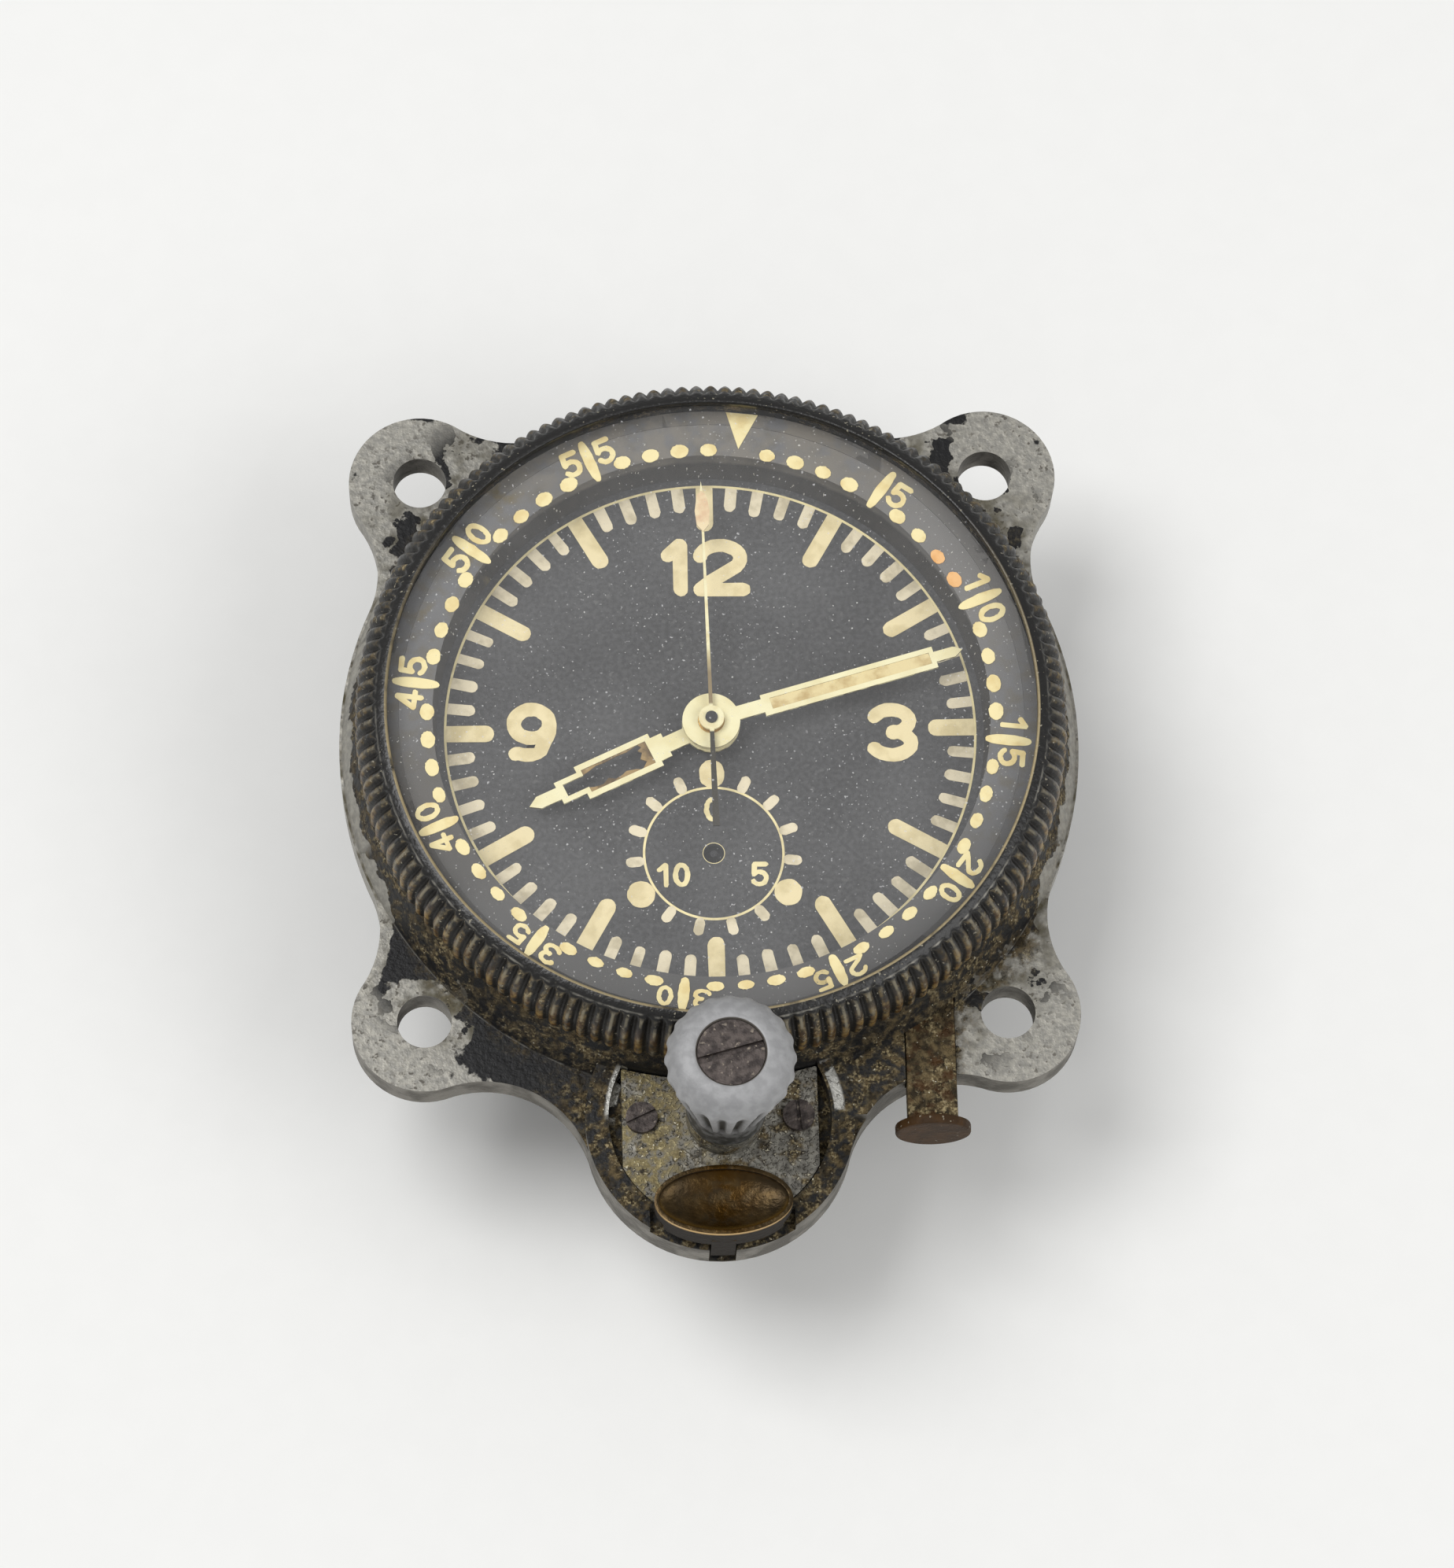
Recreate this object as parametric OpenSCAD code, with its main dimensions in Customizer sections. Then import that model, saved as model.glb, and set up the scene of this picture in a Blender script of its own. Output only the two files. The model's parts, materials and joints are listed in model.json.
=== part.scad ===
// Aircraft panel clock: cast flange case, turning bezel with its crystal, winding knob,
// two push-pieces and a hand-wound movement with a centre sweep and a minute counter.
// Origin on the dial's axis at the flange's back face; +Z out through the dial, +Y towards 12.

/* [Flange] */
// Distance between the fixing holes, both ways
hole_pitch = 48; // [47:0.5:50]
// Diameter of a fixing hole
hole_d = 4.5; // [3:0.1:5]
// Radius of the lug round a fixing hole
lug_r = 6; // [5:0.1:6.8]
// Thickness of the flange at its lugs
lug_t = 3; // [2.6:0.1:3.6]
// Width of the flange outside the collar's foot
flange_w = 0.2; // [0.1:0.1:1]
// Radius of the hollow blends beside the lugs and the lobe
blend_r = 9; // [7:0.5:11]

/* [Lobe and knob place] */
// Radius of the lobe under the winding knob
lobe_r = 11; // [10.6:0.1:12]
// Height of the lobe's rim above the flange's back
lobe_h = 4.4; // [4.2:0.1:5]
// Height of the pocket's roof, where the cover plate seats
cover_seat_h = 2.8; // [2.7:0.1:3]
// Sideways offset of the winding knob's axis
crown_x = 0.4; // [0:0.1:0.8]
// Gap between the bezel and the winding knob's foot
crown_gap = 0.3; // [0.2:0.1:0.8]
// Radius of the cover plate in the lobe
cover_r = 9; // [8.4:0.1:9.2]
// Width of the cover plate between its two flats
cover_w = 16; // [15.6:0.1:17]
// Thickness of the cover plate
cover_t = 1.4; // [1.2:0.1:1.6]
// Radius of the boss that carries the knob's shaft
boss_r = 3.2; // [2.6:0.1:3.2]
// Height of that boss above the cover plate
boss_h = 2.7; // [2:0.1:3]
// Distance between the cover plate's two screws
cover_screw_pitch = 12.8; // [12:0.1:13]

/* [Case] */
// Height of the collar's shoulder under the bezel
collar_h = 7.2; // [7:0.1:7.4]
// Width of the collar's shoulder outside the neck
collar_step = 1.6; // [1.3:0.1:2]
// How far the collar's foot stands outside its shoulder
collar_slope = 2.1; // [1.6:0.1:2.2]
// How far the cover plate's pocket reaches into the collar's foot
lobe_wall_in = 1; // [0.9:0.1:1.3]
// Height of the neck above the shoulder
neck_h = 2.4; // [2.3:0.1:2.6]
// Thickness of the neck's wall
neck_t = 2.8; // [2.4:0.1:3]
// Thickness of the spigot's wall inside the rear can
spigot_t = 1.4; // [1.2:0.1:1.7]
// Length of the spigot behind the flange
spigot_l = 3.6; // [3.4:0.1:4]
// Width of the ledge that the movement rests on
ledge_w = 1.8; // [1.6:0.1:2]
// Thickness of that ledge
ledge_t = 2; // [1.9:0.1:2.1]
// Thickness of the rear can's wall
can_t = 1.35; // [1.25:0.05:1.6]
// Depth of the rebate in the flange that takes the can's mouth
can_seat = 0.4; // [0.3:0.1:0.5]
// Space between the movement and the rear can's back
can_gap = 0.4; // [0.2:0.1:5]
// Thickness of the rear can's back
can_back = 1.2; // [0.8:0.1:1.3]

/* [Bezel and crystal] */
// Thickness of the bezel's fluted wall
bezel_t = 2.4; // [2:0.1:2.4]
// Height of the bezel's upright wall
bezel_wall_h = 2.5; // [2.2:0.1:2.8]
// How far the fluted shoulder leans in
shoulder_in = 1.65; // [1.5:0.05:1.8]
// Height of the fluted shoulder
shoulder_h = 2.6; // [2.3:0.1:2.7]
// Reach of the lip over the crystal's edge
lip_w = 0.3; // [0.2:0.1:0.6]
// Thickness of the lip over the crystal
lip_t = 0.7; // [0.5:0.1:1]
// Number of flutes in the knurl
flutes = 150; // [90:10:160]
// Radius of a flute
flute_r = 0.42; // [0.3:0.02:0.46]
// Depth of a flute
flute_depth = 0.32; // [0.2:0.02:0.36]
// Thickness of the crystal
crystal_t = 1.8; // [1.6:0.1:2]
// Thickness of the ring that holds the crystal
crystal_ring_t = 0.75; // [0.6:0.05:0.9]
// Width of that ring
crystal_ring_w = 1.2; // [0.8:0.1:1.6]
// Height of the wire spring that holds the bezel
wire_h = 0.4; // [0.3:0.05:0.5]

/* [Dial and hands] */
// Thickness of the dial
dial_t = 0.5; // [0.4:0.1:0.6]
// Space between the movement's plate and the dial
dial_gap = 4.9; // [4.8:0.1:5.2]
// Width of the ring round the dial
sight_in = 1.45; // [1.2:0.05:1.8]
// How far the minute hand ends inside the dial's ring
minute_short = 0.85; // [0.5:0.05:2.5]
// How far the hour hand ends inside the dial's ring
hour_short = 6.05; // [5.25:0.05:7.25]
// How far the sweep hand ends inside the dial's ring
sweep_short = 1.55; // [0.9:0.05:4.5]
// Length of the sweep hand's tail
sweep_tail = 9.5; // [6:0.5:10]
// Radius of the hands' hubs
hub_r = 2.4; // [2.1:0.1:2.6]
// Thickness of a hand
hand_t = 0.25; // [0.2:0.05:0.35]
// Clockwise angle of the minute hand from 12
minute_angle = 74; // [0:0.1:360]
// Clockwise angle of the hour hand from 12
hour_angle = 245; // [0:0.1:360]
// Clockwise angle of the sweep hand from 12
sweep_angle = -1; // [-180:0.1:180]

/* [Winding knob] */
// Height of the knob
crown_h = 14.8; // [13:0.1:16]
// Radius of the knob's foot
crown_foot_r = 3.3; // [2.8:0.1:3.3]
// Height of the knob's straight foot
crown_foot_h = 3; // [2.8:0.1:4]
// Largest radius of the knob
crown_r = 5.25; // [4.8:0.05:5.5]
// Radius of the rounded shoulder at the knob's top
crown_round = 2.2; // [1.6:0.1:2.4]
// Number of flutes in the knob
crown_flutes = 20; // [14:1:24]
// Radius of the screw head in the knob's top
crown_screw_r = 2.7; // [2:0.1:2.8]
// Radius of the winding shaft
shaft_r = 1; // [0.9:0.05:1.1]

/* [Push-pieces] */
// Width of the thumb plate
thumb_w = 11.2; // [10:0.1:11.4]
// Depth of the thumb plate
thumb_d = 5.8; // [5:0.1:6]
// Thickness of the thumb plate's rim
thumb_t = 2.1; // [1.6:0.1:2.4]
// Travel of the thumb plate towards the flange
thumb_travel = 1; // [0.6:0.1:1]
// Width of the thumb plate's tab
tab_w = 2; // [1.6:0.1:2.6]
// Thickness of that tab
tab_t = 0.9; // [0.7:0.1:1]
// Distance of the setting bar from the fixing hole, sideways
bar_in = 6.6; // [6.2:0.1:7]
// Width of the setting bar
bar_w = 4.1; // [3.6:0.1:4.4]
// Thickness of the setting bar
bar_t = 1.6; // [1.3:0.1:1.7]
// Length of the setting bar
bar_l = 11.6; // [11:0.1:12]
// Diameter of the setting button
button_d = 6.2; // [5:0.1:6.4]
// Thickness of the setting button
button_t = 0.8; // [0.6:0.1:1.2]
// Travel of the setting button into the case
button_travel = 1.5; // [1:0.1:1.6]

/* [Movement] */
// Thickness of the main plate
plate_t = 2.2; // [2:0.1:2.4]
// Space between the two plates
train_gap = 6.8; // [6.8:0.1:7.2]
// Thickness of the back plate
back_plate_t = 2; // [1.8:0.1:2.2]
// How far the back plate stays inside the main plate's edge
back_step = 3; // [2.4:0.1:3.2]
// Thickness of a train wheel
wheel_t = 0.5; // [0.4:0.05:0.55]

/* [Clearances] */
// Radial clearance of a turning fit
run_gap = 0.05; // [0.03:0.01:0.08]
// Clearance of a sliding or drop-in fit
slide_gap = 0.1; // [0.05:0.01:0.15]
// Clearance of parts fixed to each other
fix_gap = 0.01; // [0.005:0.005:0.02]
// Gap between faces that pass each other
face_gap = 0.3; // [0.2:0.05:0.35]

/* [Hidden] */
$fn = 72;
eps = 0.01;

// Tooth counts
crown_teeth = 24;
winding_teeth = 55;
ratchet_teeth = 26;
barrel_teeth = 60;
centre_pinion_teeth = 10;
centre_teeth = 64;
third_teeth = 60;
fourth_teeth = 80;
leaf_teeth = 8;
escape_teeth = 15;
cannon_teeth = 12;
minute_teeth = 36;
minute_pinion_teeth = 10;
hour_teeth = 40;
runner_teeth = 20;
transfer_teeth = 100;
transfer_pinion_teeth = 24;
counter_teeth = 72;
// Tooth height above and below the pitch circle, in modules, and flank places in pitches
tooth_top = 0.9;
tooth_foot = 1.25;
flank_top = 0.08;
flank_foot = 0.31;

// Radii of the case, from the fixing holes inwards
neck_r = hole_pitch * 9 / 16;
collar_r = neck_r + collar_step;
collar_foot_r = collar_r + collar_slope;
flange_r = collar_foot_r + flange_w;
lobe_wall_r = collar_foot_r - lobe_wall_in;
bore_r = neck_r - neck_t;
spigot_r = bore_r + spigot_t;
ledge_r = bore_r - ledge_w;
can_in_r = spigot_r + run_gap;
can_r = can_in_r + can_t;
bezel_r = neck_r + bezel_t;
shoulder_r = bezel_r - shoulder_in;
opening_r = neck_r - lip_w;
sight_r = bore_r - sight_in;
crown_y = bezel_r + crown_gap + crown_foot_r;
bar_x = hole_pitch / 2 - bar_in;
plate_r = bore_r - 2 * slide_gap;
back_plate_r = plate_r - back_step;
minute_l = sight_r - minute_short;
hour_l = sight_r - hour_short;
sweep_l = sight_r - sweep_short;
// The movement's layout follows its plate, and is 1 at a radius of 24
layout = plate_r / 24;
counter_y = 10.8 * layout;
power_m = 0.3 * layout;
centre_m = 0.2 * layout;
third_m = 0.18 * layout;
fourth_m = 0.13 * layout;
motion_m = 0.25 * layout;
runner_m = 0.195 * layout;
counter_m = 0.22 * layout;
balance_r = 6.4 * layout;
balance_d = 11.8 * layout;
escape_r = 3 * layout;
// Heights of the case
neck_top = collar_h + neck_h;
bezel_z = collar_h + face_gap;
crystal_z = neck_top + face_gap / 2 + crystal_ring_t;
crystal_top = crystal_z + crystal_t;
bezel_top = crystal_top + lip_t;
crystal_r = neck_r;
bezel_bore_r = neck_r + run_gap;
wire_z = bezel_z + 0.7;
lip_r = opening_r + 0.25;
shoulder_z = bezel_z + bezel_wall_h;
wire_w = 0.85;
wire_in = neck_r - wire_w / 2;
cover_top = cover_seat_h + cover_t;
boss_top = cover_top + boss_h;
dial_ring_lip_z = collar_h + 0.7;
dial_ring_lip_r = bore_r + 0.75;
crown_z = boss_top + slide_gap;
crown_top = crown_z + crown_h;
crown_screw_t = 1.3;
// Heights of the movement
plate_z = ledge_t - spigot_l;
plate_top = plate_z + plate_t;
dial_z = plate_top + dial_gap;
dial_top = dial_z + dial_t;
dial_r = bore_r - slide_gap;
back_top = plate_z - train_gap;
back_z = back_top - back_plate_t;
pocket_z = 0.8;
winding_z = plate_top + 0.6;
winding_t = 1.2;
cannon_z = plate_top + 0.3;
minute_wheel_z = cannon_z + 0.3;
hour_wheel_z = minute_wheel_z + wheel_t + 1.1;
centre_z = plate_z - 1.1 - wheel_t;
third_z = centre_z - 0.9 - wheel_t;
balance_top = third_z - 0.3;
balance_t = 1.3;
fourth_z = third_z - 1 - wheel_t;
escape_z = fourth_z - 0.9 - wheel_t;
barrel_z = back_top + 0.5;
barrel_tooth_t = 0.8;
barrel_top = centre_z - 0.5;
barrel_cover_t = 0.6;
runner_z = back_z - 1.8;
cam_t = 0.6;
cam_z = runner_z - 0.9 - cam_t;
sweep_bridge_t = 1;
sweep_bridge_z = cam_z - 0.4 - sweep_bridge_t;
bridge_head_t = 0.5;
can_l = can_back + can_gap + bridge_head_t - sweep_bridge_z;
bridge_z = winding_z + winding_t + 0.3;
bridge_t = 0.7;
counter_z = bridge_z + bridge_t + 0.3;
case_screw_z = plate_z - ledge_t / 2;
case_screw_head_t = 0.7;
// Heights of the hands, and their windows
hour_z = dial_top + 1.3;
minute_z = hour_z + hand_t + 0.65;
sweep_z = minute_z + hand_t + 0.5;
minute_window = [1, 5.2, minute_l - 2.8];
hour_window = [2.1, 5.6, hour_l - 5.2];
hour_slot = [1.1, hour_l - 5.2 - eps, hour_l - 3.3];
counter_hole_r = 0.85;
// Arbors of the hands
sweep_r = 0.5;
tube_in_r = sweep_r + run_gap;
tube_r = 1.1;
pipe_in_r = tube_r + run_gap;
pipe_r = 1.7;
dial_hole_r = pipe_r + face_gap;
arbor_r = 0.3;
jewel_r = 0.9;
jewel_t = 1.2;
post_r = 1;
stud_r = 0.6;
barrel_arbor_r = 1;

// Places of the axes
function pitch_r(teeth, m) = teeth * m / 2;
function tip_r(teeth, m) = pitch_r(teeth, m) + tooth_top * m;
function polar(r, a) = [r * cos(a), r * sin(a)];
function bearing(p, q) = atan2(q[1] - p[1], q[0] - p[0]);
// Point at distance dp from p and dq from q, on the given side of the line from p to q
function meet(p, dp, q, dq, side) =
    let (d = norm(q - p), a = (dp * dp - dq * dq + d * d) / (2 * d), u = (q - p) / d)
    p + a * u + side * sqrt(dp * dp - a * a) * [-u[1], u[0]];
// Turn that brings a wheel into mesh with a wheel of known teeth, turn and direction
function mesh_turn(turn, teeth, dir, mate) = dir + 180 + 180 / mate - (turn - dir) * teeth / mate;

centre_p = [0, 0];
lobe_p = [0, -crown_y];
crown_p = [crown_x, -crown_y];
counter_p = [0, -counter_y];
barrel_d = pitch_r(barrel_teeth + centre_pinion_teeth, power_m);
barrel_p = [crown_x, -sqrt(barrel_d * barrel_d - crown_x * crown_x)];
winding_p = meet(crown_p, pitch_r(crown_teeth + winding_teeth, power_m),
                 barrel_p, pitch_r(winding_teeth + ratchet_teeth, power_m), 1);
third_p = polar(pitch_r(centre_teeth + leaf_teeth, centre_m), 60);
fourth_p = third_p + polar(pitch_r(third_teeth + leaf_teeth, third_m), 120);
escape_p = fourth_p + polar(pitch_r(fourth_teeth + leaf_teeth, fourth_m), 180);
balance_dir = 169;
balance_p = polar(balance_d, balance_dir);
cock_foot_p = polar(balance_d + balance_r + 2.2, balance_dir);
pallet_d = escape_r * 1.24;
pallet_dir = bearing(escape_p, balance_p);
pallet_p = escape_p + polar(pallet_d, pallet_dir);
motion_d = pitch_r(cannon_teeth + minute_teeth, motion_m);
hour_m = 2 * motion_d / (minute_pinion_teeth + hour_teeth);
minute_p = polar(motion_d, 30);
transfer_p = meet(centre_p, pitch_r(runner_teeth + transfer_teeth, runner_m),
                  counter_p, pitch_r(transfer_pinion_teeth + counter_teeth, counter_m), 1);
click_p = barrel_p + polar(8.7 * layout, -35);
sweep_foot_p = polar(11.5 * layout, 56);
pillar_ps = [for (a = [45, 133, 217, 323]) polar(back_plate_r - 1.6, a)];
movement_screw_ps = [for (a = [20, 140, 200, 335]) polar(ledge_r + stud_r + slide_gap, a)];
foot_ps = [for (a = [15, 165]) polar(plate_r - 5, a)];
cover_screw_ps = [for (s = [-1, 1]) lobe_p + [s * cover_screw_pitch / 2, 0]];
hole_ps = [for (x = [-1, 1], y = [-1, 1]) [x, y] * hole_pitch / 2];
jewel_main_ps = [third_p, fourth_p, escape_p, pallet_p, balance_p];
jewel_back_ps = [third_p, fourth_p, escape_p, pallet_p];
barrel_r = pitch_r(barrel_teeth, power_m) - 0.6;
// Turns of the wheels at rest, so that their teeth mesh
winding_turn = mesh_turn(0, crown_teeth, bearing(crown_p, winding_p), winding_teeth);
ratchet_turn = mesh_turn(winding_turn, winding_teeth, bearing(winding_p, barrel_p), ratchet_teeth);
barrel_turn = mesh_turn(0, centre_pinion_teeth, bearing(centre_p, barrel_p), barrel_teeth);
transfer_turn = mesh_turn(0, runner_teeth, bearing(centre_p, transfer_p), transfer_teeth);
counter_turn = mesh_turn(0, transfer_pinion_teeth, bearing(transfer_p, counter_p), counter_teeth);
// The thumb plate's front edge is flush with the lobe's wall
thumb_p = [0, -crown_y - lobe_r + 0.15 + thumb_d / 2];
thumb_z = cover_top + thumb_travel + 0.4;
thumb_top = thumb_z + thumb_t;
thumb_stem_r = 0.8;
thumb_stem_p = [0, -crown_y - 6.6];
skirt_y = -crown_y - cover_r - 0.4;
spring_seat = 0.9;
bar_z = 2.4;
bar_mid_z = bar_z + bar_t / 2;
bar_out_y = -crown_y - 0.6;
bar_in_y = bar_out_y + bar_l;
bar_pocket_y = bar_in_y + button_travel + 0.6;
spring_hole_r = 0.95;
spring_end_y = bar_pocket_y + 2.1;

module at(p, z) {
    translate([p[0], p[1], z]) children();
}

// Straight pin or shaft between two heights
module shaft(p, r, z0, z1) {
    at(p, z0) cylinder(r = r, h = z1 - z0);
}

module tube(p, r_in, r, z0, z1) {
    difference() {
        shaft(p, r, z0, z1);
        shaft(p, r_in, z0 - eps, z1 + eps);
    }
}

// Outline of a toothed wheel
module toothed(teeth, m) {
    r = pitch_r(teeth, m);
    polygon([for (i = [0 : teeth - 1], k = [-1, 1], j = [0, 1])
        let (top = (k < 0) ? j : 1 - j)
        polar(r + (top == 1 ? tooth_top : -tooth_foot) * m,
              (i + k * (top == 1 ? flank_top : flank_foot)) * 360 / teeth)]);
}

module wheel(p, z, t, teeth, m, turn) {
    at(p, z) rotate(turn) linear_extrude(t) toothed(teeth, m);
}

// Train wheel with round crossings
module crossed_wheel(p, z, teeth, m, turn, crossings) {
    r = pitch_r(teeth, m);
    at(p, z) linear_extrude(wheel_t) difference() {
        rotate(turn) toothed(teeth, m);
        for (i = [0 : crossings - 1])
            rotate((i + 0.5) * 360 / crossings) translate([r * 0.56, 0]) circle(r * 0.24);
    }
}

// Flat strip wound in a spiral
module spiral_strip(r0, r1, turns, w) {
    steps = turns * 24;
    polygon([for (side = [0, 1], i = [0 : steps])
        let (k = side == 0 ? i : steps - i)
        polar(r0 + (r1 - r0) * k / steps + (side - 0.5) * w, k * 15)]);
}

// Coil spring along +Z as one unbroken tube
module coil(r, wire_r, turns, h) {
    rings = turns * 8;
    sides = 6;
    pts = [for (i = [0 : rings], j = [0 : sides - 1])
        let (a = i * 45, q = polar(wire_r, j * 360 / sides))
        [(r + q[0]) * cos(a), (r + q[0]) * sin(a), wire_r + (h - 2 * wire_r) * i / rings + q[1]]];
    skin = [for (i = [0 : rings - 1], j = [0 : sides - 1])
        let (a = i * sides + j, b = i * sides + (j + 1) % sides)
        each [[a, a + sides, b], [b, a + sides, b + sides]]];
    ends = [for (j = [1 : sides - 2]) each [[0, j, j + 1],
        [rings * sides, rings * sides + j + 1, rings * sides + j]]];
    echo(coil_gap = (h - 2 * wire_r) / turns - 2 * wire_r);
    polyhedron(pts, concat(skin, ends));
}

// Hollow blend of radius f between two discs, its arc running a little way into both
module blend(p, rp, q, rq, f, side) {
    c = meet(p, rp + f, q, rq + f, side);
    difference() {
        polygon([p, q, c]);
        translate(c) circle(f + 2 * eps);
    }
}

// Head of a slotted screw, its slot along the given turn
module screw_head(p, r, z0, t, turn) {
    difference() {
        shaft(p, r, z0, z0 + t);
        at(p, z0 + t / 2) rotate(turn) translate([-r - 1, -r * 0.12, 0]) cube([2 * r + 2, r * 0.24, t]);
    }
}

module flange_outline() {
    for (p = hole_ps) {
        translate(p) circle(lug_r);
        for (side = [-1, 1]) blend(centre_p, flange_r, p, lug_r, blend_r, side);
        if (p[1] < 0) {
            blend(p, lug_r, lobe_p, lobe_r, blend_r, p[0] > 0 ? 1 : -1);
            polygon([centre_p, p, lobe_p]);
        }
    }
    circle(flange_r);
    translate(lobe_p) circle(lobe_r);
}

// The flange's outline without its middle, which is turned
module flange_skirt() {
    difference() {
        flange_outline();
        circle((can_r + collar_foot_r) / 2);
    }
}

// The part of the lobe that lies outside the collar's wall
module lobe_recess(r, wall) {
    difference() {
        translate(lobe_p) circle(r);
        circle(wall);
    }
}

// Everything that is cut out of the flange for the knob, the push-pieces and the winding wheel
module flange_cuts() {
    translate([0, 0, cover_seat_h]) linear_extrude(lobe_h) lobe_recess(cover_r + slide_gap, lobe_wall_r);
    shaft(winding_p, tip_r(winding_teeth, power_m) + face_gap, pocket_z, cover_seat_h);
    shaft(crown_p, tip_r(crown_teeth, power_m) + face_gap, pocket_z, cover_seat_h + eps);
    shaft(crown_p, shaft_r + run_gap, pocket_z - 0.6, pocket_z + eps);
    for (p = cover_screw_ps) shaft(p, 0.7 + fix_gap, 0.8, cover_seat_h + eps);
    shaft(thumb_stem_p, thumb_stem_r + slide_gap, 0.4, cover_seat_h + eps);
    translate([-thumb_w / 2 - face_gap, -crown_y - lobe_r - 1, thumb_z - thumb_travel - 1.4])
        cube([thumb_w + 2 * face_gap, lobe_r - cover_r + 2.4, lobe_h]);
    translate([-tab_w / 2 - slide_gap, -crown_y - lobe_r - 1, 0.2])
        cube([tab_w + 2 * slide_gap, lobe_r - cover_r + 1, lobe_h]);
    translate([bar_x - bar_w / 2 - slide_gap, bar_out_y - 1, bar_z - run_gap])
        cube([bar_w + 2 * slide_gap, bar_pocket_y - bar_out_y + 1, bar_t + run_gap + slide_gap]);
    translate([bar_x, bar_pocket_y - eps, bar_mid_z]) rotate([-90, 0, 0])
        cylinder(r = spring_hole_r, h = spring_end_y - bar_pocket_y);
}

module case_flange() {
    color("dimgray") difference() {
        union() {
            linear_extrude(lug_t) flange_skirt();
            linear_extrude(lobe_h) intersection() {
                flange_skirt();
                union() {
                    translate(lobe_p) circle(lobe_r);
                    polygon([centre_p, lobe_p, lobe_p + [bar_x - bar_w / 2 - slide_gap, 0],
                             [bar_x - bar_w / 2 - slide_gap, 0]]);
                }
            }
            rotate_extrude() polygon([[0, -spigot_l], [spigot_r, -spigot_l], [spigot_r, can_seat],
                [can_r + run_gap, can_seat], [can_r + run_gap, 0], [collar_foot_r, 0],
                [collar_foot_r, lug_t], [collar_r, collar_h], [neck_r, collar_h],
                [neck_r, wire_z - 0.1], [wire_in - slide_gap, wire_z - 0.1],
                [wire_in - slide_gap, wire_z + wire_h + 0.1], [neck_r, wire_z + wire_h + 0.1],
                [neck_r, neck_top], [0, neck_top]]);
        }
        for (p = hole_ps) shaft(p, hole_d / 2, -1, lug_t + 1);
        shaft(centre_p, ledge_r, -spigot_l - 1, neck_top + 1);
        shaft(centre_p, bore_r, plate_z, neck_top + 1);
        shaft(centre_p, dial_ring_lip_r + slide_gap / 2, dial_ring_lip_z, neck_top + 1);
        for (p = movement_screw_ps) shaft(p, stud_r + fix_gap, plate_z - 1.4, plate_z + eps);
        case_screw_places() translate([0, 0, spigot_r - 2.4]) cylinder(r = 0.8 + fix_gap, h = 4);
        flange_cuts();
    }
}

module case_screw_places() {
    for (a = [30, 150, 270]) rotate(a) translate([0, 0, case_screw_z]) rotate([0, 90, 0]) children();
}

module rear_case() {
    color("dimgray") difference() {
        rotate_extrude() polygon([[0, -can_l], [can_r - 0.8, -can_l], [can_r, -can_l + 0.8], [can_r, run_gap],
            [can_r - can_seat + run_gap, can_seat], [can_in_r, can_seat], [can_in_r, -can_l + can_back],
            [0, -can_l + can_back]]);
        case_screw_places() {
            translate([0, 0, can_in_r - 1]) cylinder(r = 0.8 + slide_gap, h = 4);
            translate([0, 0, can_r - case_screw_head_t]) cylinder(r = 1.4 + slide_gap, h = 2);
        }
    }
}

module case_screws() {
    color("saddlebrown") case_screw_places() difference() {
        union() {
            translate([0, 0, spigot_r - 2.2]) cylinder(r = 0.8, h = can_r - case_screw_head_t - spigot_r + 2.2);
            translate([0, 0, can_r - case_screw_head_t]) cylinder(r = 1.4, h = case_screw_head_t - 0.1);
        }
        translate([-2, -0.2, can_r - 0.4]) cube([4, 0.4, 1]);
    }
}

module cover_plate() {
    color("gray") difference() {
        union() {
            translate([0, 0, cover_seat_h]) linear_extrude(cover_t) intersection() {
                lobe_recess(cover_r, lobe_wall_r + slide_gap);
                translate(lobe_p - [cover_w / 2, cover_r]) square([cover_w, 2 * cover_r]);
            }
            shaft(crown_p, boss_r, cover_top - eps, boss_top);
        }
        shaft(crown_p, shaft_r + run_gap, 0, boss_top + 1);
        for (p = cover_screw_ps) shaft(p, 0.7 + slide_gap, 0, cover_top + 1);
        shaft(thumb_stem_p, thumb_stem_r + slide_gap, 0, cover_top + 1);
        shaft(thumb_stem_p, thumb_stem_r + 0.8, cover_top - spring_seat, cover_top + 1);
    }
}

module cover_screws() {
    color("saddlebrown") for (i = [0, 1]) {
        shaft(cover_screw_ps[i], 0.7, 1, cover_top + eps);
        screw_head(cover_screw_ps[i], 1.3, cover_top, 0.5, 25 + 70 * i);
    }
}

// Upright fluted ring that turns on the neck, with the groove of the wire spring
module bezel_ring() {
    groove_r = neck_r + wire_w / 2 + run_gap;
    color("black") difference() {
        rotate_extrude() polygon([[bezel_bore_r, bezel_z], [bezel_r - 0.2, bezel_z], [bezel_r, bezel_z + 0.2],
            [bezel_r, shoulder_z], [bezel_bore_r, shoulder_z], [bezel_bore_r, wire_z + wire_h + 0.05],
            [groove_r, wire_z + wire_h + 0.05], [groove_r, wire_z - 0.05], [bezel_bore_r, wire_z - 0.05]]);
        for (i = [0 : flutes - 1]) rotate(i * 360 / flutes)
            translate([bezel_r - flute_depth + flute_r, 0, bezel_z - 1])
                cylinder(r = flute_r, h = bezel_wall_h + 2);
    }
}

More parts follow.
